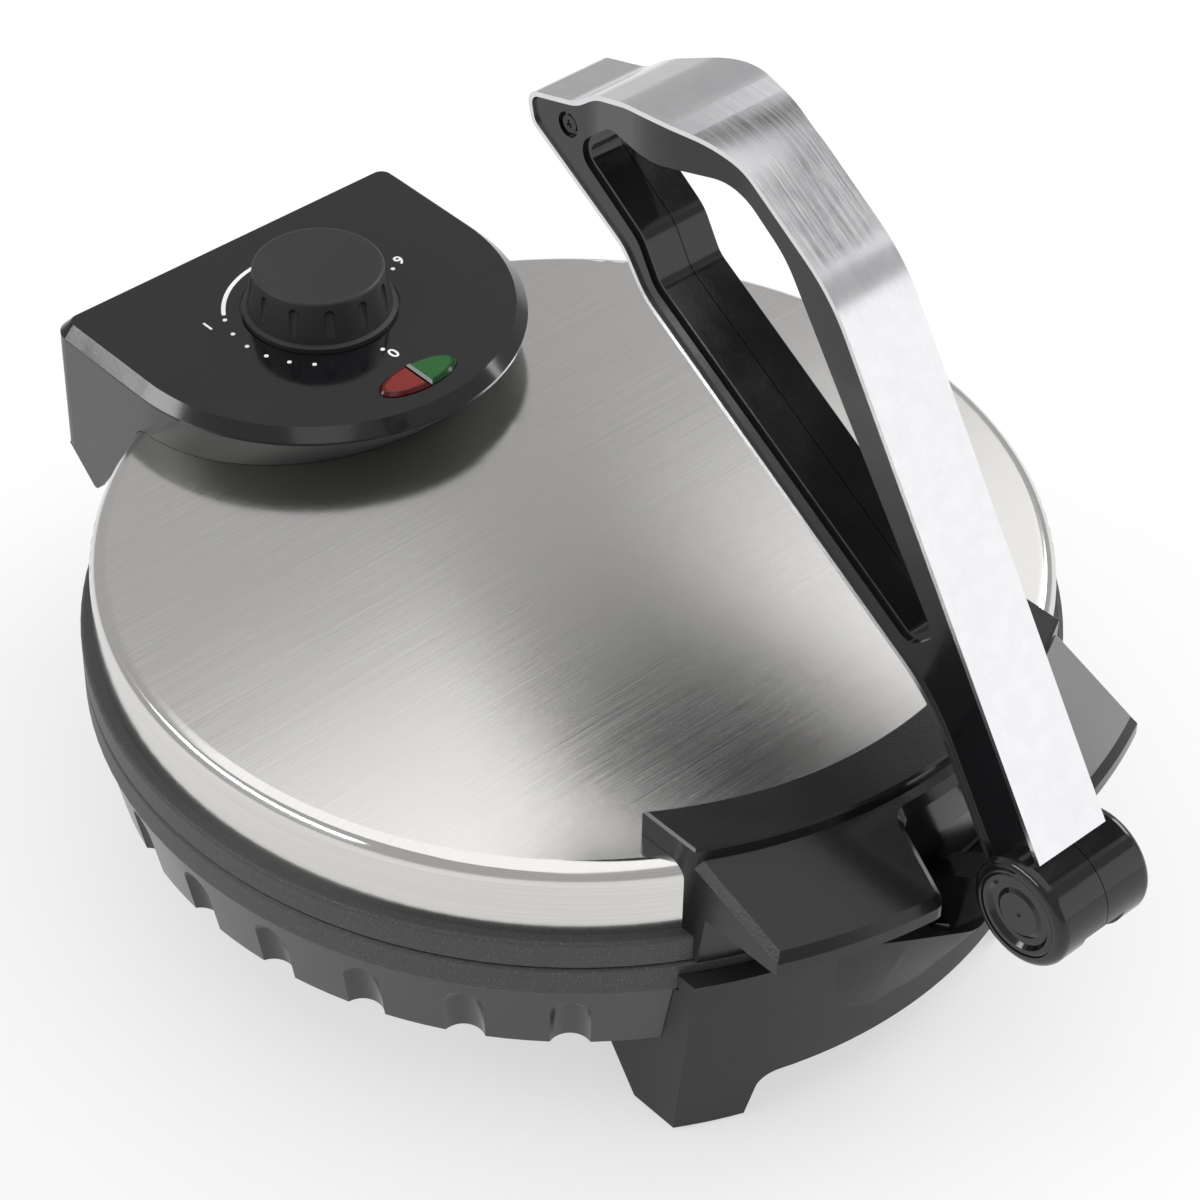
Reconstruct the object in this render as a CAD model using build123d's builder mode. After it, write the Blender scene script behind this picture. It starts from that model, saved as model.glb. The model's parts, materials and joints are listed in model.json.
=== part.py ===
from build123d import *
import os
from math import atan2, cos, degrees, radians, sin, sqrt

# Electric roti maker: a round press cooker with a hinged lid and a press lever.
# Millimetres. +X is the right-hand side of someone facing the lever, -Y the
# front (lever side), +Y the back (control box), +Z up, z = 0 the table.
# Distances along Y are taken from the axis of the round plates.

os.makedirs("parts", exist_ok=True)

# ============================================================ driving sizes
# Clearances
RUN_GAP = 0.05            # radial, a turning pin or shaft in its bore
SEAT_GAP = 0.3            # between faces of bodies that move apart
TRIM_GAP = 0.2            # around inserts
FIT_GAP = 0.1             # between fixed neighbours

# Cooking plates
PLATE_RADIUS = 164.4
PARTING_Z = 80.3          # where the two plates meet
LOWER_RIM_DEPTH = 11.8
UPPER_RIM_DEPTH = 10.9
RIM_WIDTH = 6.0
PLATE_THICKNESS = 7.0
BREAD_RECESS = 1.2        # depth of the flat baking face in each plate
BAKING_RADIUS = PLATE_RADIUS - 11.4
PLATE_EDGE = 1.5          # rounding on the outer corners

# Heating elements, half sunk in a rib of each plate
ELEMENT_RING_RADIUS = PLATE_RADIUS - 68.4
ELEMENT_RADIUS = 3.6
SLEEVE_RADIUS = 4.4       # end sleeves, which stand on the rib
ELEMENT_SWEEP = 310.0     # degrees of ring
ELEMENT_TAIL = 15.0       # length of the end sleeves
RIB_WIDTH = 16.0
RIB_DEPTH = 4.0
RIB_SLOPE = 2.0

# Reflector trays behind the elements
TRAY_RADIUS = ELEMENT_RING_RADIUS + 36.0
TRAY_DEPTH = 14.0
TRAY_SHEET = 0.8
TRAY_SLOPE = 6.0
TRAY_FLANGE = 5.0

# Base skirt
SKIRT_TOP_RADIUS = PLATE_RADIUS - 1.4
SKIRT_BOTTOM_RADIUS = PLATE_RADIUS - 6.9
SKIRT_BOTTOM_Z = 40.6
SKIRT_WALL = 6.0
LEDGE_WIDTH = 22.0        # inward ledge that carries the lower plate
LEDGE_DEPTH = 3.0
SCALLOP_PITCH = 12.0      # degrees
SCALLOP_START = 42.0      # first scallop, degrees from the front centre line
SCALLOP_COUNT = 9         # on each side
SCALLOP_HALF_WIDTH = 6.4
SCALLOP_DEPTH = 3.8
SCALLOP_TOP_Z = PARTING_Z - LOWER_RIM_DEPTH - 6.0
BOSS_RADIUS = 5.5
BOSS_RING_RADIUS = SKIRT_BOTTOM_RADIUS - 12.0
BOSS_COUNT = 6
BOSS_SCREW_DEPTH = 14.0
SCREW_RADIUS = 1.7
SCREW_HEAD_RADIUS = 3.6
SCREW_HEAD_DEPTH = 2.0

# Bottom cover
COVER_SHEET = 2.0
COVER_SHEET_Z = SKIRT_BOTTOM_Z + 2.4
COVER_SHEET_RADIUS = SKIRT_BOTTOM_RADIUS - SKIRT_WALL - 0.5
VENT_LENGTH = 44.0
VENT_WIDTH = 4.0
VENT_PITCH = 10.0
VENT_ROWS = 5

# Cord gland in the back of the skirt
GLAND_Z = SKIRT_BOTTOM_Z + 13.4
GLAND_RADIUS = 6.0
GLAND_FLANGE_RADIUS = 9.5
CORD_HOLE_RADIUS = 3.4

# Front pedestal
PEDESTAL_HALF_WIDTH = 81.0    # at the table
PEDESTAL_TOP_HALF = 84.0
PEDESTAL_TOP_REACH = PLATE_RADIUS + 6.9
PEDESTAL_FOOT_REACH = PEDESTAL_TOP_REACH - 9.8    # radius of the front face at the table
PEDESTAL_TOP_Z = PARTING_Z - 4.8
PEDESTAL_WALL = 11.5      # thickness between the legs
FOOT_BACK = PLATE_RADIUS - 42.9   # rear edge of the front feet, from the plate axis
LEG_BACK = PLATE_RADIUS - 67.4    # rear edge of the legs under the skirt
FOOT_INNER = 57.0         # half the gap between the feet
FOOT_FLARE = 3.0
ARCH_HEIGHT = 20.8
ARCH_ROUNDING = 7.0
PROW_REACH = PLATE_RADIUS + 25.6  # bulge under the lever
PROW_HALF_SPAN = 40.0
PROW_SHOULDER_HALF = 19.0
PROW_SHOULDER_REACH = PROW_REACH - 11.0
PROW_ROUNDING = 9.0
PROW_BOTTOM_Z = SKIRT_BOTTOM_Z - 6.6
PAD_THICKNESS = 1.5
PAD_INSET = 3.0

# Rear support
REAR_FOOT_FRONT = PLATE_RADIUS - 50.4
REAR_FOOT_BACK = PLATE_RADIUS - 22.4
REAR_LEG_BACK = PLATE_RADIUS + 2.6    # where the legs meet the skirt
REAR_BAR_WIDTH = 16.0
REAR_BAR_Z = SKIRT_BOTTOM_Z - 13.2
REAR_KNEE_Z = SKIRT_BOTTOM_Z - 6.6

# Lid hinge
BOX_HALF_WIDTH = 75.0     # control box, which holds the hinge arms
BOX_WALL = 3.0
HINGE_Y = PLATE_RADIUS + 13.6
HINGE_Z = PARTING_Z + 3.7
HINGE_PIN_RADIUS = 3.0
HINGE_PIN_TRIM = 0.4      # each pin is shorter than the arm at its outer end
KNUCKLE_RADIUS = HINGE_PIN_RADIUS + 4.5
ARM_OUTER = BOX_HALF_WIDTH - BOX_WALL - 0.2
ARM_INNER = ARM_OUTER - 17.2
EYE_OUTER = ARM_INNER - 2 * SEAT_GAP
EYE_INNER = EYE_OUTER - 16.0
REAR_LEG_INNER = EYE_INNER - 4.0
REAR_LEG_OUTER = EYE_OUTER + 8.0

# Steel lid cover
COVER_RADIUS = PLATE_RADIUS - 4.4
COVER_TOP_Z = PARTING_Z + 36.7
COVER_SHOULDER = 6.0
COVER_THICKNESS = 1.0

# Control box
BOX_BACK = HINGE_Y + 10.0
DIAL_Y = PLATE_RADIUS - 31.8
DRUM_Y = DIAL_Y + 3.8     # centre of the round front
BOX_BOTTOM_Z = PARTING_Z + 4.1
PANEL_Z = COVER_TOP_Z + 14.0   # joint between box and panel
BOX_TOP_Z = PANEL_Z + 5.0
BOX_CORNER = 8.0
NECK_REACH = 61.5         # round front where it meets the lid
PANEL_BEVEL = 4.0
PANEL_SHEET = 2.6
HINGE_WINDOW_Z = HINGE_Z + 12.0   # top of the opening in the back wall
CHEEK_FRONT = HINGE_Y - 18.0
CHEEK_LOW_Y = HINGE_Y - 8.8
CHEEK_LOW_Z = HINGE_Z - 12.9
CHEEK_BACK = HINGE_Y + 5.7

# Knob, thermostat and lamps
KNOB_BODY_RADIUS = 25.6
KNOB_TOP_RADIUS = KNOB_BODY_RADIUS - 2.7
KNOB_COLLAR_RADIUS = KNOB_BODY_RADIUS + 1.6
KNOB_COLLAR = 2.6
KNOB_TOP_Z = BOX_TOP_Z + 17.8
KNOB_EDGE = 1.4
KNOB_ROOF = 3.0
KNOB_FLUTES = 12
FLUTE_RADIUS = 1.9
FLUTE_DEPTH = 1.5
FLUTE_LENGTH = 10.5
KNOB_WELL_RADIUS = KNOB_COLLAR_RADIUS + 1.0
DIAL_RADIUS = KNOB_WELL_RADIUS + 5.3
DIAL_SINK = 0.8
KNOB_HUB_RADIUS = 7.0
SHAFT_RADIUS = 3.0
BUSH_RADIUS = 5.0
BUSH_RISE = 2.0
THERMOSTAT_RADIUS = 17.0
THERMOSTAT_DEPTH = 9.0
MARK_THICKNESS = 0.15
MARK_DOT_RADIUS = 0.8
BAND_MARK_SWEEP = 137.0
LAMP_Y = DRUM_Y - BOX_HALF_WIDTH + 18.1
LAMP_HALF_LENGTH = 16.3
LAMP_HALF_WIDTH = 7.2
LAMP_DIVIDER = 0.7
LAMP_RISE = 1.3

# Front handle of the lid
HANDLE_HALF_SPAN = 80.0
HANDLE_END_ROUNDING = 5.0
LIP_INNER_RADIUS = COVER_RADIUS - 16.0
LIP_OUTER_RADIUS = COVER_RADIUS + 3.6
LIP_TOP_Z = COVER_TOP_Z + 9.8
LIP_EDGE = 0.8
EAR_REACH = PLATE_RADIUS + 31.6   # radius of the ears' front edge
EAR_BACK_Z = COVER_TOP_Z + 5.0
EAR_FRONT_Z = COVER_TOP_Z - 8.2
EAR_BOTTOM_Z = COVER_TOP_Z - 15.2
EAR_BEVEL = 2.4
EAR_CORNER = 4.0
EAR_WALL = 2.6            # round the hollow under each ear
EAR_SLOT_HALF = 17.5      # slot between the ears, at its back
EAR_SLOT_FRONT_HALF = 24.5
APRON_TOP_RADIUS = PLATE_RADIUS + 4.2     # wall below the ears
APRON_BOTTOM_RADIUS = PLATE_RADIUS + 1.8
APRON_BOTTOM_Z = PARTING_Z + 0.9

# Press lever
HUB_Y = -PLATE_RADIUS - 53.4      # pivot, from the plate axis
HUB_Z = PARTING_Z + 36.4
HUB_RADIUS = 18.3
HUB_HALF_WIDTH = 19.8
HUB_EDGE = 3.2
LEVER_PIN_RADIUS = 4.0
LEVER_LEAN = 57.0         # degrees above the table, leaning back over the lid
LEVER_HALF_WIDTH = 14.4
BAND_THICKNESS = 1.6
BAND_OVERHANG = 1.0       # band beyond the side faces of the plastic halves
PARTING_HALF = 0.15       # half of the joint line between the halves
SLOT_GAP = 0.6
SLOT_BACK_ANGLE = -8.0
SLOT_FRONT_ANGLE = -168.0
CAP_RADIUS = HUB_RADIUS - 3.9
CAP_THICKNESS = 3.0
STEM_OUTER = 11.6         # outline of the stem, from the pivot line
STEM_INNER = 11.5
NOSE_HALF_WIDTH = 21.6    # widest part of the grip, before its rounding
NOSE_SPOT = (256.0, -32.0)    # along and across the stem
NOSE_TURN = 32.0          # degrees between the nose's middle line and the stem
NOSE_SPAN = 45.0
NOSE_DEPTH = 50.0
LEDGE_BORDER = 2.5        # step round the hand hole
LEDGE_CUT = 1.2
SCREW_WELL_RADIUS = 4.2
SCREW_WELL_DEPTH = 1.4
SCREW_LENGTH = 12.0
LEVER_SCREW_HEAD = 2.9
TIP_SCREW = (256.8, -82.0)
STEM_SCREW = (48.0, 0.0)

# Tongue from the pedestal into the lever hub
TONGUE_HALF = 8.0
TONGUE_NECK = HUB_RADIUS - 6.3
TONGUE_ANGLE = -36.0      # where the tongue leaves the hub, at rest
TONGUE_KNEE = 28.0        # from the pivot to the bend
TONGUE_ROOT_BACK = -PLATE_RADIUS - 5.0
TONGUE_ROOT_FRONT = -PLATE_RADIUS - 19.0
TONGUE_ROOT_Z = PEDESTAL_TOP_Z + 13.5
TONGUE_FLANGE = 3.0       # thickness of the flange on the pedestal
EYE_RADIUS = HUB_RADIUS - 3.3

# Inside fittings
TERMINAL_Y = ELEMENT_RING_RADIUS
TERMINAL_LENGTH = 42.0
TERMINAL_WIDTH = 16.0
TERMINAL_HEIGHT = 10.0
HOLDER_LENGTH = 2 * LAMP_HALF_LENGTH + 13.4
HOLDER_WIDTH = 2 * LAMP_HALF_WIDTH + 3.6
HOLDER_THICKNESS = 2.0
HOLDER_DROP = 2.0

# ============================================================ shared frame
PLATE_Y = (HUB_RADIUS - HUB_Y - BOX_BACK) / 2    # origin below the middle
PLATE_AXIS = Axis((0, PLATE_Y, 0), (0, 0, 1))
LOWER_PLATE_Z = PARTING_Z - LOWER_RIM_DEPTH
UPPER_PLATE_Z = PARTING_Z + UPPER_RIM_DEPTH


def level(z):
    """Horizontal plane at height z, centred on the plate axis."""
    return Plane(origin=(0, PLATE_Y, z), x_dir=(1, 0, 0), z_dir=(0, 0, 1))


def side(x):
    """Upright plane across X: its first axis runs to the back, its second up."""
    return Plane(origin=(x, PLATE_Y, 0), x_dir=(0, 1, 0), z_dir=(1, 0, 0))


def radial(angle):
    """Upright half plane from the plate axis, angle taken from the front."""
    turn = radians(angle)
    return Plane(
        origin=(0, PLATE_Y, 0),
        x_dir=(sin(turn), -cos(turn), 0),
        z_dir=(-cos(turn), -sin(turn), 0),
    )


RADIAL = radial(90)


def lever_plane(x):
    """Plane across the lever: first axis along the stem, second away from the lid."""
    lean = radians(LEVER_LEAN)
    return Plane(
        origin=(x, PLATE_Y + HUB_Y, HUB_Z),
        x_dir=(0, cos(lean), sin(lean)),
        z_dir=(1, 0, 0),
    )


def reach(radius, x):
    """Distance from the plate axis to a circle of that radius, along Y at x."""
    return sqrt(radius**2 - x**2)


def groove(radius, length):
    """Cutter for a groove with a round end: it runs down from the origin."""
    with BuildPart() as cutter:
        Sphere(radius)
        Cylinder(radius, length, align=(Align.CENTER, Align.CENTER, Align.MAX))
    return cutter.part


def finish_piece(builder, name):
    """Label one piece and write its STEP file."""
    builder.part.label = name
    export_step(builder.part, f"parts/{name}.step")


# ============================================================ base
SKIRT_RUN = SKIRT_TOP_RADIUS - SKIRT_BOTTOM_RADIUS
SKIRT_HEIGHT = LOWER_PLATE_Z - SKIRT_BOTTOM_Z


def skirt_radius(z):
    """Outer radius of the tapered skirt at height z."""
    return SKIRT_BOTTOM_RADIUS + SKIRT_RUN * (z - SKIRT_BOTTOM_Z) / SKIRT_HEIGHT


def skirt_clearance(top_z):
    """Half section of the skirt and plates up to top_z, grown by the seat gap."""
    with BuildSketch(RADIAL) as section:
        with BuildLine():
            Polyline(
                (0, SKIRT_BOTTOM_Z),
                (SKIRT_BOTTOM_RADIUS + SEAT_GAP, SKIRT_BOTTOM_Z),
                (SKIRT_TOP_RADIUS + SEAT_GAP, LOWER_PLATE_Z),
                (PLATE_RADIUS + 2 * SEAT_GAP, LOWER_PLATE_Z),
                (PLATE_RADIUS + 2 * SEAT_GAP, top_z),
                (0, top_z),
                close=True,
            )
        make_face()
    return section.sketch


# Skirt with its ledge, screw bosses, scalloped lower edge and gland hole
SCALLOP_CHORD = SCALLOP_HALF_WIDTH**2 + SCALLOP_DEPTH**2
SCALLOP_RADIUS = SCALLOP_CHORD / (2 * SCALLOP_DEPTH)
SCALLOP_END_Z = SCALLOP_TOP_Z - SCALLOP_HALF_WIDTH
SCALLOP_RING = skirt_radius(SCALLOP_END_Z) + SCALLOP_RADIUS - SCALLOP_DEPTH
SCALLOP_TILT = degrees(atan2(SKIRT_RUN, SKIRT_HEIGHT))
SCALLOP_SPAN = SCALLOP_PITCH * (SCALLOP_COUNT - 1)
SKIRT_INNER_TOP = SKIRT_TOP_RADIUS - SKIRT_WALL
LEDGE_Z = LOWER_PLATE_Z - LEDGE_DEPTH
BOSS_Z = COVER_SHEET_Z + COVER_SHEET
with BuildPart(level(0)) as base_housing:
    with BuildSketch(RADIAL):
        with BuildLine():
            Polyline(
                (SKIRT_BOTTOM_RADIUS - SKIRT_WALL, SKIRT_BOTTOM_Z),
                (SKIRT_BOTTOM_RADIUS, SKIRT_BOTTOM_Z),
                (SKIRT_TOP_RADIUS, LOWER_PLATE_Z),
                (SKIRT_TOP_RADIUS - LEDGE_WIDTH, LOWER_PLATE_Z),
                (SKIRT_TOP_RADIUS - LEDGE_WIDTH, LEDGE_Z),
                (SKIRT_INNER_TOP, LEDGE_Z),
                close=True,
            )
        make_face()
    revolve(axis=PLATE_AXIS)
    with BuildSketch(level(BOSS_Z)):
        with PolarLocations(BOSS_RING_RADIUS, BOSS_COUNT):
            Circle(BOSS_RADIUS)
    extrude(amount=LEDGE_Z + LEDGE_DEPTH / 2 - BOSS_Z)
    with BuildSketch(level(BOSS_Z)):
        with PolarLocations(BOSS_RING_RADIUS, BOSS_COUNT):
            Circle(SCREW_RADIUS)
    extrude(amount=BOSS_SCREW_DEPTH, mode=Mode.SUBTRACT)
    scallop = groove(SCALLOP_RADIUS, 2 * SKIRT_HEIGHT)
    with Locations((0, 0, SCALLOP_END_Z)):
        for first in (SCALLOP_START - 90, -90 - SCALLOP_START - SCALLOP_SPAN):
            with PolarLocations(
                SCALLOP_RING,
                SCALLOP_COUNT,
                start_angle=first,
                angular_range=SCALLOP_SPAN,
                endpoint=True,
            ):
                add(scallop, rotation=(0, SCALLOP_TILT, 0), mode=Mode.SUBTRACT)
    with Locations((0, SKIRT_BOTTOM_RADIUS, GLAND_Z)):
        Cylinder(GLAND_RADIUS + TRIM_GAP, 20, rotation=(90, 0, 0), mode=Mode.SUBTRACT)
finish_piece(base_housing, "base_housing")

# Vented bottom cover, screwed up against the bosses
with BuildPart() as bottom_cover:
    with BuildSketch(level(COVER_SHEET_Z)):
        Circle(COVER_SHEET_RADIUS)
        with PolarLocations(BOSS_RING_RADIUS, BOSS_COUNT):
            Circle(SCREW_RADIUS + TRIM_GAP, mode=Mode.SUBTRACT)
        with GridLocations(VENT_LENGTH * 1.4, VENT_PITCH, 2, VENT_ROWS):
            SlotOverall(VENT_LENGTH, VENT_WIDTH, mode=Mode.SUBTRACT)
    extrude(amount=COVER_SHEET)
finish_piece(bottom_cover, "bottom_cover")

with BuildPart(level(COVER_SHEET_Z)) as base_screws:
    with PolarLocations(BOSS_RING_RADIUS, BOSS_COUNT):
        Cylinder(
            SCREW_RADIUS - RUN_GAP,
            BOSS_SCREW_DEPTH,
            align=(Align.CENTER, Align.CENTER, Align.MIN),
        )
        Cylinder(
            SCREW_HEAD_RADIUS,
            SCREW_HEAD_DEPTH,
            align=(Align.CENTER, Align.CENTER, Align.MAX),
        )
finish_piece(base_screws, "base_screws")

# Front pedestal: side outline, front outline and coned front face in common
PEDESTAL_FACE_RUN = PEDESTAL_TOP_REACH - PEDESTAL_FOOT_REACH
PROW_EMBED = 0.5
with BuildPart() as front_pedestal:
    with BuildSketch(side(-PEDESTAL_TOP_HALF)):
        with BuildLine():
            Polyline(
                (-FOOT_BACK, PAD_THICKNESS),
                (-LEG_BACK, SKIRT_BOTTOM_Z),
                (-LEG_BACK, PEDESTAL_TOP_Z),
                (-PEDESTAL_TOP_REACH, PEDESTAL_TOP_Z),
                (-PEDESTAL_TOP_REACH, PAD_THICKNESS),
                close=True,
            )
        make_face()
    extrude(amount=2 * PEDESTAL_TOP_HALF)
    with BuildSketch(RADIAL) as front_outline:
        with BuildLine():
            Polyline(
                (-PEDESTAL_HALF_WIDTH, 0),
                (-FOOT_INNER - FOOT_FLARE, 0),
                (-FOOT_INNER, ARCH_HEIGHT),
                (FOOT_INNER, ARCH_HEIGHT),
                (FOOT_INNER + FOOT_FLARE, 0),
                (PEDESTAL_HALF_WIDTH, 0),
                (PEDESTAL_TOP_HALF, PEDESTAL_TOP_Z),
                (-PEDESTAL_TOP_HALF, PEDESTAL_TOP_Z),
                close=True,
            )
        make_face()
        fillet(
            front_outline.vertices().filter_by(
                lambda corner: abs(corner.Y - ARCH_HEIGHT) < 1
            ),
            radius=ARCH_ROUNDING,
        )
    extrude(amount=PEDESTAL_TOP_REACH, mode=Mode.INTERSECT)
    with BuildSketch(RADIAL):
        with BuildLine():
            Polyline(
                (0, 0),
                (PEDESTAL_FOOT_REACH, 0),
                (PEDESTAL_TOP_REACH, PEDESTAL_TOP_Z),
                (0, PEDESTAL_TOP_Z),
                close=True,
            )
        make_face()
    revolve(axis=PLATE_AXIS, mode=Mode.INTERSECT)
    for height, shoulder, nose in (
        (PEDESTAL_TOP_Z, PROW_SHOULDER_REACH, PROW_REACH),
        (PROW_BOTTOM_Z, 0, 0),
    ):
        lean = PEDESTAL_FACE_RUN * height / PEDESTAL_TOP_Z
        face = PEDESTAL_FOOT_REACH + lean - PROW_EMBED
        edge = -reach(face, PROW_HALF_SPAN)
        shoulder_y = -max(shoulder, reach(face, PROW_SHOULDER_HALF))
        with BuildSketch(level(height)):
            with BuildLine():
                FilletPolyline(
                    (-PROW_HALF_SPAN, edge),
                    (-PROW_SHOULDER_HALF, shoulder_y),
                    (0, -max(nose, face)),
                    (PROW_SHOULDER_HALF, shoulder_y),
                    (PROW_HALF_SPAN, edge),
                    (PROW_HALF_SPAN - 12, edge + 8),
                    (12 - PROW_HALF_SPAN, edge + 8),
                    close=True,
                    radius=(0, 4 * PROW_ROUNDING, PROW_ROUNDING, 4 * PROW_ROUNDING, 0, 0, 0),
                )
            make_face()
    loft(ruled=True)
    add(skirt_clearance(PEDESTAL_TOP_Z + 1))
    revolve(axis=PLATE_AXIS, mode=Mode.SUBTRACT)
    with BuildSketch(level(0)):
        Circle(PEDESTAL_TOP_REACH - PEDESTAL_FACE_RUN - PEDESTAL_WALL)
        Rectangle(2 * FOOT_INNER, 2 * PLATE_RADIUS, mode=Mode.INTERSECT)
    extrude(amount=SKIRT_BOTTOM_Z, mode=Mode.SUBTRACT)
finish_piece(front_pedestal, "front_pedestal")

# Rear pedestal: two legs joined by a bar, each rising to a hinge knuckle
EYE_WIDTH = EYE_OUTER - EYE_INNER
with BuildPart() as rear_pedestal:
    for way in (-1, 1):
        leg_start = REAR_LEG_INNER if way > 0 else -REAR_LEG_OUTER
        with BuildSketch(side(leg_start)):
            with BuildLine():
                Polyline(
                    (REAR_FOOT_FRONT, PAD_THICKNESS),
                    (REAR_FOOT_BACK, PAD_THICKNESS),
                    (REAR_LEG_BACK - 2, REAR_KNEE_Z),
                    (REAR_LEG_BACK, SKIRT_BOTTOM_Z + 8),
                    (REAR_FOOT_FRONT - 12, SKIRT_BOTTOM_Z + 8),
                    (REAR_FOOT_FRONT - 12, REAR_KNEE_Z - 4),
                    close=True,
                )
            make_face()
        extrude(amount=REAR_LEG_OUTER - REAR_LEG_INNER)
        eye_start = EYE_INNER if way > 0 else -EYE_OUTER
        with BuildSketch(side(eye_start)):
            with BuildLine():
                Polyline(
                    (REAR_FOOT_BACK, SKIRT_BOTTOM_Z + 2),
                    (REAR_LEG_BACK, SKIRT_BOTTOM_Z + 2),
                    (HINGE_Y - 4, HINGE_Z - 18),
                    (HINGE_Y + 5, HINGE_Z - 5),
                    (HINGE_Y, HINGE_Z),
                    (HINGE_Y - 6.5, HINGE_Z - 2),
                    (REAR_FOOT_BACK, HINGE_Z - 18),
                    close=True,
                )
            make_face()
            with Locations((HINGE_Y, HINGE_Z)):
                Circle(KNUCKLE_RADIUS)
                Circle(HINGE_PIN_RADIUS + RUN_GAP, mode=Mode.SUBTRACT)
        extrude(amount=EYE_WIDTH)
    with BuildSketch(side(-REAR_LEG_OUTER)):
        with Locations((REAR_FOOT_FRONT + 4, REAR_BAR_Z)):
            Rectangle(
                REAR_BAR_WIDTH,
                SKIRT_BOTTOM_Z - REAR_BAR_Z,
                align=(Align.CENTER, Align.MIN),
            )
    extrude(amount=2 * REAR_LEG_OUTER)
    add(skirt_clearance(PARTING_Z))
    revolve(axis=PLATE_AXIS, mode=Mode.SUBTRACT)
finish_piece(rear_pedestal, "rear_pedestal")

PIN_LENGTH = ARM_OUTER - HINGE_PIN_TRIM - EYE_INNER
with BuildPart() as hinge_pins:
    for start in (-EYE_INNER - PIN_LENGTH, EYE_INNER):
        with BuildSketch(side(start)):
            with Locations((HINGE_Y, HINGE_Z)):
                Circle(HINGE_PIN_RADIUS)
        extrude(amount=PIN_LENGTH)
finish_piece(hinge_pins, "hinge_pins")

# Rubber pads under the four feet
with BuildPart() as foot_pads:
    with BuildSketch(level(0)):
        for way in (-1, 1):
            outer = PEDESTAL_HALF_WIDTH - PAD_INSET
            inner = FOOT_INNER + FOOT_FLARE + PAD_INSET
            toe = PEDESTAL_FOOT_REACH - PAD_INSET
            with BuildLine():
                Polyline(
                    (way * outer, -FOOT_BACK - PAD_INSET),
                    (way * inner, -FOOT_BACK - PAD_INSET),
                    (way * inner, -reach(toe, inner)),
                    (way * outer, -reach(toe, outer)),
                    close=True,
                )
            make_face()
            with Locations(
                (
                    way * (REAR_LEG_INNER + REAR_LEG_OUTER) / 2,
                    (REAR_FOOT_FRONT + REAR_FOOT_BACK) / 2,
                )
            ):
                RectangleRounded(
                    REAR_LEG_OUTER - REAR_LEG_INNER - 2 * PAD_INSET,
                    REAR_FOOT_BACK - REAR_FOOT_FRONT - 2 * PAD_INSET,
                    3,
                )
    extrude(amount=PAD_THICKNESS)
finish_piece(foot_pads, "foot_pads")

# Cord gland, a flanged bush through the back of the skirt
with BuildPart() as cord_gland:
    with BuildSketch(side(0)):
        with BuildLine():
            Polyline(
                (SKIRT_BOTTOM_RADIUS - 8, GLAND_Z + CORD_HOLE_RADIUS),
                (SKIRT_TOP_RADIUS + 6, GLAND_Z + CORD_HOLE_RADIUS),
                (SKIRT_TOP_RADIUS + 6, GLAND_Z + CORD_HOLE_RADIUS + 1.6),
                (SKIRT_TOP_RADIUS + 2, GLAND_Z + GLAND_FLANGE_RADIUS),
                (SKIRT_TOP_RADIUS, GLAND_Z + GLAND_FLANGE_RADIUS),
                (SKIRT_TOP_RADIUS, GLAND_Z + GLAND_RADIUS),
                (SKIRT_BOTTOM_RADIUS - 8, GLAND_Z + GLAND_RADIUS),
                close=True,
            )
        make_face()
    revolve(axis=Axis((0, 0, GLAND_Z), (0, 1, 0)))
finish_piece(cord_gland, "cord_gland")
# Lever tongue: flanged root on the pedestal, neck and eye inside the hub
with BuildPart() as lever_tongue:
    neck_way = radians(TONGUE_ANGLE)
    ahead = (cos(neck_way), sin(neck_way))
    across = (-ahead[1] * TONGUE_NECK / 2, ahead[0] * TONGUE_NECK / 2)
    knee = (HUB_Y + TONGUE_KNEE * ahead[0], HUB_Z + TONGUE_KNEE * ahead[1])
    with BuildSketch(side(-TONGUE_HALF)):
        with BuildLine():
            Polyline(
                (HUB_Y + across[0], HUB_Z + across[1]),
                (knee[0] + across[0], knee[1] + across[1]),
                (TONGUE_ROOT_BACK, TONGUE_ROOT_Z),
                (TONGUE_ROOT_BACK, PEDESTAL_TOP_Z),
                (TONGUE_ROOT_FRONT, PEDESTAL_TOP_Z),
                (knee[0] - across[0], knee[1] - across[1]),
                (HUB_Y - across[0], HUB_Z - across[1]),
                close=True,
            )
        make_face()
        with Locations((HUB_Y, HUB_Z)):
            Circle(EYE_RADIUS)
    extrude(amount=2 * TONGUE_HALF)
    with BuildSketch(level(PEDESTAL_TOP_Z)):
        with BuildLine():
            Polyline(
                (-TONGUE_HALF - TONGUE_FLANGE, TONGUE_ROOT_BACK),
                (-TONGUE_HALF - TONGUE_FLANGE, TONGUE_ROOT_FRONT + TONGUE_FLANGE),
                (-TONGUE_HALF, TONGUE_ROOT_FRONT),
                (TONGUE_HALF, TONGUE_ROOT_FRONT),
                (TONGUE_HALF + TONGUE_FLANGE, TONGUE_ROOT_FRONT + TONGUE_FLANGE),
                (TONGUE_HALF + TONGUE_FLANGE, TONGUE_ROOT_BACK),
                close=True,
            )
        make_face()
    extrude(amount=TONGUE_FLANGE)
    with BuildSketch(side(-TONGUE_HALF)):
        with Locations((HUB_Y, HUB_Z)):
            Circle(LEVER_PIN_RADIUS + RUN_GAP)
    extrude(amount=2 * TONGUE_HALF, mode=Mode.SUBTRACT)
finish_piece(lever_tongue, "lever_tongue")

PIN_HALF = HUB_HALF_WIDTH - CAP_THICKNESS - 1
with BuildPart() as lever_pin:
    with BuildSketch(side(-PIN_HALF)):
        with Locations((HUB_Y, HUB_Z)):
            Circle(LEVER_PIN_RADIUS)
    extrude(amount=2 * PIN_HALF)
    chamfer(lever_pin.edges().filter_by(GeomType.CIRCLE), length=0.6)
finish_piece(lever_pin, "lever_pin")


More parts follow.
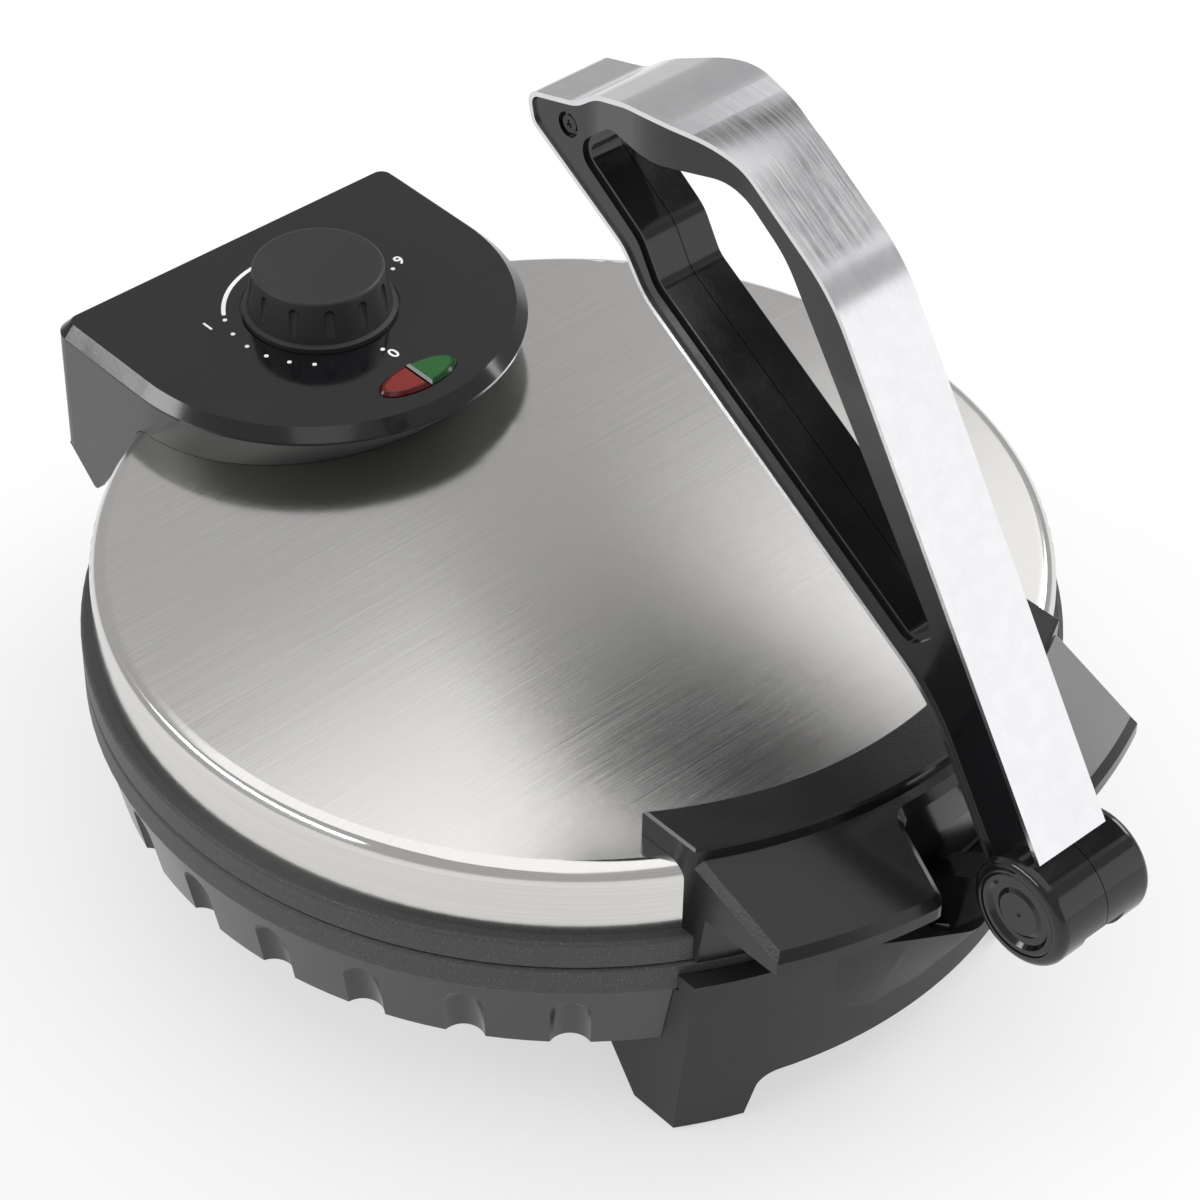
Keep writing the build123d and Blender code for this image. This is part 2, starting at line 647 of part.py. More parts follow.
def plate_section(face_z, rim_z, way):
    """Half section of a cooking plate; way is -1 below the joint, +1 above."""
    back_z = face_z + way * PLATE_THICKNESS
    rib_z = back_z + way * RIB_DEPTH
    rib_in = ELEMENT_RING_RADIUS - RIB_WIDTH / 2
    rib_out = ELEMENT_RING_RADIUS + RIB_WIDTH / 2
    with BuildSketch(RADIAL) as section:
        with BuildLine():
            Polyline(
                (0, face_z + way * BREAD_RECESS),
                (BAKING_RADIUS, face_z + way * BREAD_RECESS),
                (BAKING_RADIUS + BREAD_RECESS, face_z),
                (PLATE_RADIUS, face_z),
                (PLATE_RADIUS, rim_z),
                (PLATE_RADIUS - RIM_WIDTH, rim_z),
                (PLATE_RADIUS - RIM_WIDTH, back_z),
                (rib_out, back_z),
                (rib_out - RIB_SLOPE, rib_z),
                (rib_in + RIB_SLOPE, rib_z),
                (rib_in, back_z),
                (0, back_z),
                close=True,
            )
        make_face()
        fillet(
            section.vertices().filter_by(lambda corner: corner.X > PLATE_RADIUS - 0.1),
            radius=PLATE_EDGE,
        )
        with Locations((ELEMENT_RING_RADIUS, rib_z)):
            Circle(ELEMENT_RADIUS + FIT_GAP, mode=Mode.SUBTRACT)
    return section.sketch


LOWER_FACE_Z = PARTING_Z - SEAT_GAP / 2
UPPER_FACE_Z = PARTING_Z + SEAT_GAP / 2
LOWER_BACK_Z = LOWER_FACE_Z - PLATE_THICKNESS
UPPER_BACK_Z = UPPER_FACE_Z + PLATE_THICKNESS
with BuildPart() as lower_plate:
    add(plate_section(LOWER_FACE_Z, LOWER_PLATE_Z, -1))
    revolve(axis=PLATE_AXIS)
finish_piece(lower_plate, "lower_plate")

with BuildPart() as upper_plate:
    add(plate_section(UPPER_FACE_Z, UPPER_PLATE_Z, 1))
    revolve(axis=PLATE_AXIS)
finish_piece(upper_plate, "upper_plate")


def heating_element(back_z, way, name):
    """Tubular element: an open ring in the rib, its two ends in upright sleeves."""
    ring_z = back_z + way * RIB_DEPTH
    gap = (360 - ELEMENT_SWEEP) / 2
    with BuildPart() as tube:
        with BuildSketch(radial(180 + gap)):
            with Locations((ELEMENT_RING_RADIUS, ring_z)):
                Circle(ELEMENT_RADIUS)
        revolve(axis=PLATE_AXIS, revolution_arc=ELEMENT_SWEEP)
        with BuildSketch(level(ring_z)):
            for turn in (90 + gap, 90 - gap):
                with PolarLocations(ELEMENT_RING_RADIUS, 1, start_angle=turn):
                    Circle(SLEEVE_RADIUS)
        extrude(amount=way * ELEMENT_TAIL)
    finish_piece(tube, name)


def reflector_tray(back_z, way, name):
    """Sheet tray over an element, open towards the plate, with terminal holes."""
    floor_z = back_z + way * TRAY_DEPTH
    gap = (360 - ELEMENT_SWEEP) / 2
    with BuildPart(level(floor_z)) as tray:
        with BuildSketch(RADIAL):
            with BuildLine():
                Polyline(
                    (0, floor_z),
                    (TRAY_RADIUS - TRAY_SLOPE, floor_z),
                    (TRAY_RADIUS, back_z + way * 2 * TRAY_SHEET),
                    (TRAY_RADIUS + TRAY_FLANGE, back_z + way * 2 * TRAY_SHEET),
                    (TRAY_RADIUS + TRAY_FLANGE, back_z),
                    (TRAY_RADIUS - TRAY_SHEET, back_z),
                    (TRAY_RADIUS - TRAY_SLOPE - TRAY_SHEET, floor_z - way * TRAY_SHEET),
                    (0, floor_z - way * TRAY_SHEET),
                    close=True,
                )
            make_face()
        revolve(axis=PLATE_AXIS)
        for turn in (90 + gap, 90 - gap):
            with PolarLocations(ELEMENT_RING_RADIUS, 1, start_angle=turn):
                Cylinder(SLEEVE_RADIUS + 1, 4, mode=Mode.SUBTRACT)
    finish_piece(tray, name)


heating_element(LOWER_BACK_Z, -1, "lower_element")
heating_element(UPPER_BACK_Z, 1, "upper_element")
reflector_tray(LOWER_BACK_Z, -1, "lower_tray")
reflector_tray(UPPER_BACK_Z, 1, "upper_tray")

# Terminal block on the bottom cover, three screw wells on top
with BuildPart(level(BOSS_Z)) as terminal_block:
    with BuildSketch(level(BOSS_Z)):
        with Locations((0, TERMINAL_Y)):
            RectangleRounded(TERMINAL_LENGTH, TERMINAL_WIDTH, 2)
    extrude(amount=TERMINAL_HEIGHT)
    with BuildSketch(level(BOSS_Z + TERMINAL_HEIGHT)):
        with Locations((0, TERMINAL_Y)):
            with GridLocations(TERMINAL_LENGTH / 3, 0, 3, 1):
                Circle(2.4)
    extrude(amount=-TERMINAL_HEIGHT / 2, mode=Mode.SUBTRACT)
finish_piece(terminal_block, "terminal_block")


# ============================================================ lid
def cover_section(grow, floor_z):
    """Half section of the solid inside the lid cover, grown by a clearance."""
    outer = COVER_RADIUS + grow
    top = COVER_TOP_Z + grow
    with BuildSketch(RADIAL) as section:
        with BuildLine():
            Polyline(
                (0, floor_z),
                (outer, floor_z),
                (outer, top - COVER_SHOULDER),
            )
            TangentArc(
                (outer, top - COVER_SHOULDER),
                (outer - COVER_SHOULDER, top),
                tangent=(0, 1),
            )
            Polyline((outer - COVER_SHOULDER, top), (0, top), (0, floor_z))
        make_face()
    return section.sketch


with BuildPart() as steel_cover:
    add(cover_section(0, UPPER_PLATE_Z))
    revolve(axis=PLATE_AXIS)
    add(cover_section(-COVER_THICKNESS, UPPER_PLATE_Z + COVER_THICKNESS))
    revolve(axis=PLATE_AXIS, mode=Mode.SUBTRACT)
    with BuildSketch(level(UPPER_PLATE_Z)):
        Circle(PLATE_RADIUS - RIM_WIDTH - 1)
    extrude(amount=2 * COVER_THICKNESS, mode=Mode.SUBTRACT)
finish_piece(steel_cover, "steel_cover")


def box_outline(z, front, inset=0):
    """D outline of the control box: round towards the lid, square at the back."""
    half = BOX_HALF_WIDTH - inset
    back = BOX_BACK - inset
    with BuildSketch(level(z)) as outline:
        with BuildLine():
            EllipticalCenterArc(
                (0, DRUM_Y),
                half,
                front - inset,
                start_angle=180,
                arc_size=180,
            )
            Polyline((half, DRUM_Y), (half, back), (-half, back), (-half, DRUM_Y))
        make_face()
        fillet(
            outline.vertices().filter_by(lambda corner: corner.Y > back - 1),
            radius=BOX_CORNER - inset,
        )
    return outline.sketch


# Control box: lofted neck on the lid, square tail behind it over the hinge
with BuildPart() as control_box:
    add(box_outline(COVER_TOP_Z, NECK_REACH))
    add(box_outline(PANEL_Z, BOX_HALF_WIDTH))
    loft(ruled=True)
    add(box_outline(BOX_BOTTOM_Z, NECK_REACH))
    extrude(amount=COVER_TOP_Z - BOX_BOTTOM_Z)
    add(box_outline(COVER_TOP_Z, NECK_REACH, BOX_WALL))
    add(box_outline(PANEL_Z, BOX_HALF_WIDTH, BOX_WALL))
    loft(ruled=True, mode=Mode.SUBTRACT)
    add(box_outline(BOX_BOTTOM_Z, NECK_REACH, BOX_WALL))
    extrude(amount=COVER_TOP_Z - BOX_BOTTOM_Z, mode=Mode.SUBTRACT)
    add(cover_section(FIT_GAP, BOX_BOTTOM_Z))
    revolve(axis=PLATE_AXIS, mode=Mode.SUBTRACT)
    with BuildSketch(level(BOX_BOTTOM_Z)):
        Circle(PLATE_RADIUS + SEAT_GAP)
    extrude(amount=UPPER_PLATE_Z + FIT_GAP - BOX_BOTTOM_Z, mode=Mode.SUBTRACT)
    with BuildSketch(level(BOX_BOTTOM_Z)):
        with Locations((0, BOX_BACK)):
            Rectangle(2 * (BOX_HALF_WIDTH - BOX_WALL), 5 * BOX_WALL)
    extrude(amount=HINGE_WINDOW_Z - BOX_BOTTOM_Z, mode=Mode.SUBTRACT)
finish_piece(control_box, "control_box")

# Control panel: bevelled gloss plate with the knob well and the lamp window
with BuildPart() as control_panel:
    add(box_outline(PANEL_Z, BOX_HALF_WIDTH))
    extrude(amount=BOX_TOP_Z - PANEL_Z)
    chamfer(
        control_panel.faces().sort_by(Axis.Z)[-1].edges(),
        length=PANEL_BEVEL,
    )
    add(box_outline(PANEL_Z, BOX_HALF_WIDTH, BOX_WALL))
    extrude(amount=BOX_TOP_Z - PANEL_SHEET - PANEL_Z, mode=Mode.SUBTRACT)
    with BuildSketch(level(BOX_TOP_Z)):
        with Locations((0, DIAL_Y)):
            Circle(KNOB_WELL_RADIUS)
    extrude(amount=-DIAL_SINK, mode=Mode.SUBTRACT)
    with BuildSketch(level(BOX_TOP_Z)):
        with Locations((0, DIAL_Y)):
            Circle(BUSH_RADIUS + FIT_GAP)
        with Locations((0, LAMP_Y)):
            Ellipse(LAMP_HALF_LENGTH, LAMP_HALF_WIDTH)
    extrude(amount=PANEL_Z - BOX_TOP_Z, mode=Mode.SUBTRACT)
finish_piece(control_panel, "control_panel")

# Dial print: dots up to the low mark and a band on to the high mark
with BuildPart() as dial_marks:
    with BuildSketch(level(BOX_TOP_Z)):
        with Locations((0, DIAL_Y)):
            with PolarLocations(DIAL_RADIUS, 6, 153, 75, endpoint=True):
                Circle(MARK_DOT_RADIUS)
            with PolarLocations(DIAL_RADIUS, 2, 271, 90, endpoint=True):
                Circle(MARK_DOT_RADIUS)
            with BuildLine(mode=Mode.PRIVATE) as band_line:
                CenterArc((0, 0), DIAL_RADIUS, 10, BAND_MARK_SWEEP)
            SlotArc(band_line.edge(), 2 * MARK_DOT_RADIUS - 0.1)
    extrude(amount=MARK_THICKNESS)
finish_piece(dial_marks, "dial_marks")

# Lamp lenses: two halves of one oval window, each resting on the holder
HOLDER_Z = BOX_TOP_Z - PANEL_SHEET - HOLDER_DROP


def lamp_lens(way, name):
    """One half of the split window, on the side given by way."""
    with BuildPart() as lens:
        with BuildSketch(level(HOLDER_Z)):
            with Locations((0, LAMP_Y)):
                Ellipse(LAMP_HALF_LENGTH - TRIM_GAP, LAMP_HALF_WIDTH - TRIM_GAP)
            with Locations((way * LAMP_DIVIDER / 2, LAMP_Y)):
                Rectangle(
                    LAMP_HALF_LENGTH,
                    4 * LAMP_HALF_WIDTH,
                    align=(Align.MIN if way > 0 else Align.MAX, Align.CENTER),
                    mode=Mode.INTERSECT,
                )
        extrude(amount=BOX_TOP_Z + LAMP_RISE - HOLDER_Z)
        chamfer(lens.faces().sort_by(Axis.Z)[-1].edges(), length=LAMP_RISE * 0.7)
    finish_piece(lens, name)


lamp_lens(-1, "lens_red")
lamp_lens(1, "lens_green")

# Lamp holder: plate under the window, hung from the panel by two posts
with BuildPart() as lamp_holder:
    with BuildSketch(level(HOLDER_Z)):
        with Locations((0, LAMP_Y)):
            RectangleRounded(HOLDER_LENGTH, HOLDER_WIDTH, 3)
    extrude(amount=-HOLDER_THICKNESS)
    with BuildSketch(level(HOLDER_Z - HOLDER_THICKNESS)):
        with Locations((0, LAMP_Y)):
            with GridLocations(HOLDER_LENGTH - 6, 0, 2, 1):
                Circle(2.5)
    extrude(amount=HOLDER_THICKNESS + HOLDER_DROP)
    with BuildSketch(level(HOLDER_Z - HOLDER_THICKNESS)):
        with Locations((0, LAMP_Y)):
            with GridLocations(LAMP_HALF_LENGTH, 0, 2, 1):
                Circle(3)
    extrude(amount=-6)
finish_piece(lamp_holder, "lamp_holder")

# Thermostat: body under the panel and a bush that carries the knob shaft
THERMOSTAT_Z = BOX_TOP_Z - PANEL_SHEET
with BuildPart() as thermostat:
    with BuildSketch(level(THERMOSTAT_Z)):
        with Locations((0, DIAL_Y)):
            Circle(THERMOSTAT_RADIUS)
    extrude(amount=-THERMOSTAT_DEPTH)
    chamfer(thermostat.faces().sort_by(Axis.Z)[0].edges(), length=1)
    with BuildSketch(level(THERMOSTAT_Z - THERMOSTAT_DEPTH / 2)):
        with Locations((0, DIAL_Y)):
            Rectangle(2 * THERMOSTAT_RADIUS + 14, 8)
    extrude(amount=1.2)
    with BuildSketch(level(THERMOSTAT_Z)):
        with Locations((0, DIAL_Y)):
            Circle(BUSH_RADIUS)
    extrude(amount=PANEL_SHEET + BUSH_RISE)
    with BuildSketch(level(THERMOSTAT_Z - THERMOSTAT_DEPTH - 1)):
        with Locations((0, DIAL_Y)):
            Circle(SHAFT_RADIUS + RUN_GAP)
    extrude(amount=THERMOSTAT_DEPTH * 4, mode=Mode.SUBTRACT)
finish_piece(thermostat, "thermostat")

# Hollows under the ears of the front handle
SLOT_BACK = -reach(APRON_TOP_RADIUS, EAR_SLOT_HALF)
EAR_FALL = (EAR_BACK_Z - EAR_FRONT_Z) / (EAR_REACH - LIP_OUTER_RADIUS)
HOLLOW_BACK = APRON_TOP_RADIUS + EAR_WALL
HOLLOW_FRONT = EAR_REACH - EAR_WALL
HOLLOW_TOP_Z = EAR_BACK_Z - 1.1 * EAR_WALL
with BuildPart() as ear_hollows:
    with BuildSketch(RADIAL):
        with BuildLine():
            Polyline(
                (HOLLOW_BACK, EAR_BOTTOM_Z),
                (HOLLOW_BACK, HOLLOW_TOP_Z - EAR_FALL * (HOLLOW_BACK - LIP_OUTER_RADIUS)),
                (HOLLOW_FRONT, HOLLOW_TOP_Z - EAR_FALL * (HOLLOW_FRONT - LIP_OUTER_RADIUS)),
                (HOLLOW_FRONT, EAR_BOTTOM_Z),
                close=True,
            )
        make_face()
    revolve(axis=PLATE_AXIS)
    with BuildSketch(level(EAR_BOTTOM_Z)):
        for way in (-1, 1):
            with BuildLine():
                Polyline(
                    (way * (EAR_SLOT_HALF + EAR_WALL), 0),
                    (way * (EAR_SLOT_HALF + EAR_WALL), SLOT_BACK),
                    (way * (EAR_SLOT_FRONT_HALF + EAR_WALL), -EAR_REACH),
                    (way * (HANDLE_HALF_SPAN - EAR_WALL), -EAR_REACH),
                    (way * (HANDLE_HALF_SPAN - EAR_WALL), 0),
                    close=True,
                )
            make_face()
    extrude(amount=EAR_BACK_Z - EAR_BOTTOM_Z, mode=Mode.INTERSECT)

# Front handle: lip over the cover's shoulder, two sloping ears and an apron
with BuildPart() as front_handle:
    with BuildSketch(RADIAL) as handle_section:
        with BuildLine():
            Polyline(
                (LIP_INNER_RADIUS, UPPER_PLATE_Z + FIT_GAP),
                (LIP_INNER_RADIUS, LIP_TOP_Z),
                (LIP_OUTER_RADIUS, LIP_TOP_Z),
                (LIP_OUTER_RADIUS, EAR_BACK_Z),
                (EAR_REACH, EAR_FRONT_Z),
                (EAR_REACH, EAR_BOTTOM_Z),
                (APRON_TOP_RADIUS, EAR_BOTTOM_Z),
                (APRON_BOTTOM_RADIUS, APRON_BOTTOM_Z),
                (PLATE_RADIUS + SEAT_GAP, APRON_BOTTOM_Z),
                (PLATE_RADIUS + SEAT_GAP, UPPER_PLATE_Z + FIT_GAP),
                close=True,
            )
        make_face()
    revolve(axis=PLATE_AXIS)
    with BuildSketch(level(APRON_BOTTOM_Z)) as handle_plan:
        Circle(EAR_REACH)
        with BuildLine():
            Polyline(
                (-EAR_SLOT_HALF, 0),
                (-EAR_SLOT_HALF, SLOT_BACK),
                (-EAR_SLOT_FRONT_HALF, -EAR_REACH),
                (EAR_SLOT_FRONT_HALF, -EAR_REACH),
                (EAR_SLOT_HALF, SLOT_BACK),
                (EAR_SLOT_HALF, 0),
                close=True,
            )
        make_face(mode=Mode.SUBTRACT)
        Circle(APRON_TOP_RADIUS)
        Rectangle(
            2 * HANDLE_HALF_SPAN,
            EAR_REACH,
            align=(Align.CENTER, Align.MAX),
            mode=Mode.INTERSECT,
        )
        corners = handle_plan.vertices()
        fillet(
            corners.filter_by(lambda c: EAR_SLOT_HALF - 1 < abs(c.X) < HANDLE_HALF_SPAN - 1),
            radius=EAR_CORNER,
        )
        fillet(
            corners.filter_by(lambda c: c.Y < -LIP_INNER_RADIUS and abs(c.X) > HANDLE_HALF_SPAN - 1),
            radius=HANDLE_END_ROUNDING,
        )
    extrude(amount=LIP_TOP_Z - APRON_BOTTOM_Z, mode=Mode.INTERSECT)
    add(cover_section(FIT_GAP, UPPER_PLATE_Z))
    revolve(axis=PLATE_AXIS, mode=Mode.SUBTRACT)
    add(ear_hollows, mode=Mode.SUBTRACT)
    ear_top = front_handle.faces().filter_by(GeomType.CONE).sort_by(Axis.Z)[-1]
    ear_edges = ear_top.edges().sort_by(Axis.Z)[:-1]
    chamfer(ear_edges, length=EAR_BEVEL)
    lip_top = front_handle.faces().sort_by(Axis.Z)[-1]
    chamfer(lip_top.edges(), length=LIP_EDGE)
finish_piece(front_handle, "front_handle")

# Hinge arms in the box tail, beside the base knuckles
for name, start in (("hinge_arm_left", -ARM_OUTER), ("hinge_arm_right", ARM_INNER)):
    with BuildPart() as hinge_arm:
        with BuildSketch(side(start)):
            with BuildLine():
                Polyline(
                    (HINGE_Y, HINGE_Z),
                    (HINGE_Y + 1.8, HINGE_Z),
                    (HINGE_Y + 1.8, HINGE_Z + 34),
                    (HINGE_Y - 16, HINGE_Z + 34),
                    (HINGE_Y - KNUCKLE_RADIUS, HINGE_Z + 18),
                    (HINGE_Y - KNUCKLE_RADIUS, HINGE_Z),
                    close=True,
                )
            make_face()
            with Locations((HINGE_Y, HINGE_Z)):
                Circle(KNUCKLE_RADIUS)
                Circle(HINGE_PIN_RADIUS + RUN_GAP, mode=Mode.SUBTRACT)
        extrude(amount=ARM_OUTER - ARM_INNER)
    finish_piece(hinge_arm, name)

# Cheeks that close the sides of the hinge below the box
with BuildPart() as hinge_cheeks:
    for start in (-BOX_HALF_WIDTH + 0.4, BOX_HALF_WIDTH - BOX_WALL):
        with BuildSketch(side(start)) as cheek:
            with BuildLine():
                Polyline(
                    (CHEEK_FRONT, BOX_BOTTOM_Z),
                    (CHEEK_LOW_Y, CHEEK_LOW_Z),
                    (CHEEK_BACK, BOX_BOTTOM_Z),
                    close=True,
                )
            make_face()
            fillet(cheek.vertices().sort_by(Axis.Y)[0], radius=2)
        extrude(amount=BOX_WALL - 0.4)
finish_piece(hinge_cheeks, "hinge_cheeks")


# ============================================================ knob
KNOB_BOTTOM_Z = BOX_TOP_Z - DIAL_SINK + SEAT_GAP
KNOB_BODY_Z = KNOB_BOTTOM_Z + KNOB_COLLAR
KNOB_SECTION = Plane(origin=(0, PLATE_Y + DIAL_Y, 0), x_dir=(1, 0, 0), z_dir=(0, -1, 0))
KNOB_TAPER = (KNOB_BODY_RADIUS - KNOB_TOP_RADIUS) / (KNOB_TOP_Z - KNOB_BODY_Z)
FLUTE_Z = KNOB_TOP_Z - 2 * KNOB_EDGE - FLUTE_RADIUS
FLUTE_RING = KNOB_TOP_RADIUS + KNOB_TAPER * (KNOB_TOP_Z - FLUTE_Z) + FLUTE_RADIUS - FLUTE_DEPTH
FLUTE_TILT = degrees(atan2(KNOB_TAPER * FLUTE_LENGTH + FLUTE_DEPTH, FLUTE_LENGTH))
with BuildPart() as knob:
    with BuildSketch(KNOB_SECTION) as knob_outline:
        with BuildLine():
            Polyline(
                (0, KNOB_TOP_Z - KNOB_ROOF),
                (0, KNOB_TOP_Z),
                (KNOB_TOP_RADIUS, KNOB_TOP_Z),
                (KNOB_BODY_RADIUS, KNOB_BODY_Z),
                (KNOB_COLLAR_RADIUS, KNOB_BODY_Z - 0.6),
                (KNOB_COLLAR_RADIUS, KNOB_BOTTOM_Z),
                (KNOB_TOP_RADIUS, KNOB_BOTTOM_Z),
                (KNOB_TOP_RADIUS - KNOB_ROOF, KNOB_TOP_Z - KNOB_ROOF),
                close=True,
            )
        make_face()
        fillet(
            knob_outline.vertices().group_by(Axis.Y)[-1].sort_by(Axis.X)[-1],
            radius=KNOB_EDGE,
        )
    revolve(axis=Axis(KNOB_SECTION.origin, (0, 0, 1)))
    notch = groove(FLUTE_RADIUS, FLUTE_LENGTH - FLUTE_RADIUS)
    with Locations((0, PLATE_Y + DIAL_Y, FLUTE_Z)):
        with PolarLocations(FLUTE_RING, KNOB_FLUTES):
            add(notch, rotation=(0, -FLUTE_TILT, 0), mode=Mode.SUBTRACT)
    with BuildSketch(level(KNOB_BODY_Z + BUSH_RISE)):
        with Locations((0, DIAL_Y)):
            Circle(KNOB_HUB_RADIUS)
            Circle(SHAFT_RADIUS + RUN_GAP, mode=Mode.SUBTRACT)
    extrude(amount=KNOB_TOP_Z - KNOB_ROOF - KNOB_BODY_Z - BUSH_RISE)
finish_piece(knob, "knob")

with BuildPart() as knob_shaft:
    with BuildSketch(level(THERMOSTAT_Z - THERMOSTAT_DEPTH + 1)):
        with Locations((0, DIAL_Y)):
            Circle(SHAFT_RADIUS)
    extrude(amount=KNOB_TOP_Z - KNOB_ROOF - THERMOSTAT_Z + THERMOSTAT_DEPTH - 1)
finish_piece(knob_shaft, "knob_shaft")


# ============================================================ lever
HALF_INSET = BAND_THICKNESS + FIT_GAP
HUB_AXIS = Axis((0, PLATE_Y + HUB_Y, HUB_Z), (1, 0, 0))
HUB_SECTION = Plane(
    origin=(0, PLATE_Y + HUB_Y, HUB_Z), x_dir=(1, 0, 0), z_dir=(0, -1, 0)
)
NOSE_WAY = radians(NOSE_TURN)
NOSE_PLANE = Plane(
    origin=lever_plane(0).from_local_coords(
        (
            NOSE_SPOT[0] - NOSE_DEPTH / 2 * cos(NOSE_WAY),
            NOSE_SPOT[1] - NOSE_DEPTH / 2 * sin(NOSE_WAY),
            0,
        )
    ),
    x_dir=(1, 0, 0),
    z_dir=lever_plane(0).x_dir * cos(NOSE_WAY) + lever_plane(0).y_dir * sin(NOSE_WAY),
)


def lever_outline(x, inset):
    """Side outline of the lever at x: stem, curved grip, nose and lower rail."""
    with BuildSketch(lever_plane(x)) as outline:
        with BuildLine():
            FilletPolyline(
                (0, -STEM_INNER),
                (0, STEM_OUTER),
                (195, STEM_OUTER + 0.4),
                (241, -8.5),
                (259.5, -35),
                (264.5, -62),
                (263.4, -73),
                (270, -94.5),
                (260, -98),
                (217, -77),
                (201, -76),
                (68, -STEM_INNER),
                close=True,
                radius=(0, 0, 60, 45, 55, 30, 15, 5, 6, 20, 25, 60),
            )
        make_face()
        if inset:
            offset(amount=-inset, mode=Mode.REPLACE)
    return outline.sketch


def hand_hole(x, outset=0):
    """Opening for the hand, between the grip and the lower rail."""
    with BuildSketch(lever_plane(x)) as hole:
        with BuildLine():
            FilletPolyline(
                (90, -1.4),
                (207, -5.5),
                (229, -14.5),
                (240, -40),
                (251.5, -60),
                (248.5, -79.5),
                (219, -67),
                (204, -67.5),
                (88, -11),
                close=True,
                radius=(3, 35, 20, 20, 8, 4, 15, 10, 3.5),
            )
        make_face()
        if outset:
            offset(amount=outset, mode=Mode.REPLACE)
    return hole.sketch


def nose_bulge(inset, narrow):
    """Wider part of the grip at the nose: its side outline and plan in common."""
    nose = NOSE_HALF_WIDTH - narrow
    stem = LEVER_HALF_WIDTH - narrow
    with BuildPart() as bulge:
        extrude(lever_outline(-nose, inset), amount=2 * nose)
        with BuildSketch(NOSE_PLANE):
            with BuildLine():
                FilletPolyline(
                    (0, -NOSE_SPAN),
                    (stem, -NOSE_SPAN),
                    (stem, -0.7 * NOSE_SPAN),
                    (nose, 0),
                    (stem, 0.7 * NOSE_SPAN),
                    (stem, NOSE_SPAN),
                    (0, NOSE_SPAN),
                    close=True,
                    radius=(0, 0, 30, 40, 30, 0, 0),
                )
            make_face()
            mirror(about=Plane.YZ)
        extrude(amount=1.2 * NOSE_DEPTH, mode=Mode.INTERSECT)
    return bulge.part


def lever_solid(inset, narrow):
    """Lever body, inset from its side outline and narrowed on both sides."""
    half_width = LEVER_HALF_WIDTH - narrow
    with BuildPart() as body:
        extrude(lever_outline(-half_width, inset), amount=2 * half_width)
        add(nose_bulge(inset, narrow))
    return body.part


# Polished band: over the grip and nose, back along the lower rail
with BuildPart() as lever_band:
    add(lever_solid(0, 0))
    add(lever_solid(BAND_THICKNESS, -2), mode=Mode.SUBTRACT)
    with BuildSketch(lever_plane(-NOSE_HALF_WIDTH)):
        Circle(HUB_RADIUS + FIT_GAP)
    extrude(amount=2 * NOSE_HALF_WIDTH, mode=Mode.SUBTRACT)
finish_piece(lever_band, "lever_band")


def lever_half(way, name):
    """Moulded half: stem, rail, grip and its half of the pivot hub."""
    cavity = TONGUE_HALF + SLOT_GAP
    bore = LEVER_PIN_RADIUS + RUN_GAP
    floor = HUB_HALF_WIDTH - CAP_THICKNESS
    ledge = way * (LEVER_HALF_WIDTH - BAND_OVERHANG - LEDGE_CUT)
    with BuildPart() as half:
        add(lever_solid(HALF_INSET, BAND_OVERHANG))
        split(
            bisect_by=Plane.YZ.offset(way * PARTING_HALF),
            keep=Keep.TOP if way > 0 else Keep.BOTTOM,
        )
        extrude(hand_hole(0), amount=way * 2 * NOSE_HALF_WIDTH, mode=Mode.SUBTRACT)
        extrude(hand_hole(ledge, LEDGE_BORDER), amount=way * NOSE_HALF_WIDTH, mode=Mode.SUBTRACT)
        with BuildSketch(lever_plane(0)):
            Circle(HUB_RADIUS - 1)
        extrude(amount=way * NOSE_HALF_WIDTH, mode=Mode.SUBTRACT)
        with BuildSketch(HUB_SECTION) as hub:
            with BuildLine():
                Polyline(
                    (way * cavity, bore),
                    (way * cavity, EYE_RADIUS + SLOT_GAP),
                    (way * PARTING_HALF, EYE_RADIUS + SLOT_GAP),
                    (way * PARTING_HALF, HUB_RADIUS),
                    (way * HUB_HALF_WIDTH, HUB_RADIUS),
                    (way * HUB_HALF_WIDTH, CAP_RADIUS),
                    (way * floor, CAP_RADIUS),
                    (way * floor, bore),
                    close=True,
                )
            make_face()
            fillet(
                hub.vertices().group_by(Axis.Y)[-1].sort_by(lambda c: abs(c.X))[-1],
                radius=HUB_EDGE,
            )
        revolve(axis=HUB_AXIS)
        with BuildSketch(side(0)):
            with BuildLine():
                start = radians(SLOT_FRONT_ANGLE)
                stop = radians(SLOT_BACK_ANGLE)
                middle = (start + stop) / 2
                Polyline(
                    (HUB_Y, HUB_Z),
                    (HUB_Y + 60 * cos(start), HUB_Z + 60 * sin(start)),
                    (HUB_Y + 60 * cos(middle), HUB_Z + 60 * sin(middle)),
                    (HUB_Y + 60 * cos(stop), HUB_Z + 60 * sin(stop)),
                    close=True,
                )
            make_face()
            with Locations((HUB_Y, HUB_Z)):
                Circle(HUB_RADIUS + 1, mode=Mode.INTERSECT)
                Circle(EYE_RADIUS, mode=Mode.SUBTRACT)
        extrude(amount=way * cavity, mode=Mode.SUBTRACT)
        screw_spot = TIP_SCREW if way < 0 else STEM_SCREW
        face_x = way * (LEVER_HALF_WIDTH - BAND_OVERHANG)
        with BuildSketch(lever_plane(face_x)):
            with Locations(screw_spot):
                Circle(SCREW_WELL_RADIUS)
        extrude(amount=-way * SCREW_WELL_DEPTH, mode=Mode.SUBTRACT)
        with BuildSketch(lever_plane(face_x)):
            with Locations(screw_spot):
                Circle(SCREW_RADIUS + FIT_GAP)
        extrude(amount=-way * SCREW_LENGTH, mode=Mode.SUBTRACT)
    finish_piece(half, name)


lever_half(-1, "lever_half_left")
lever_half(1, "lever_half_right")

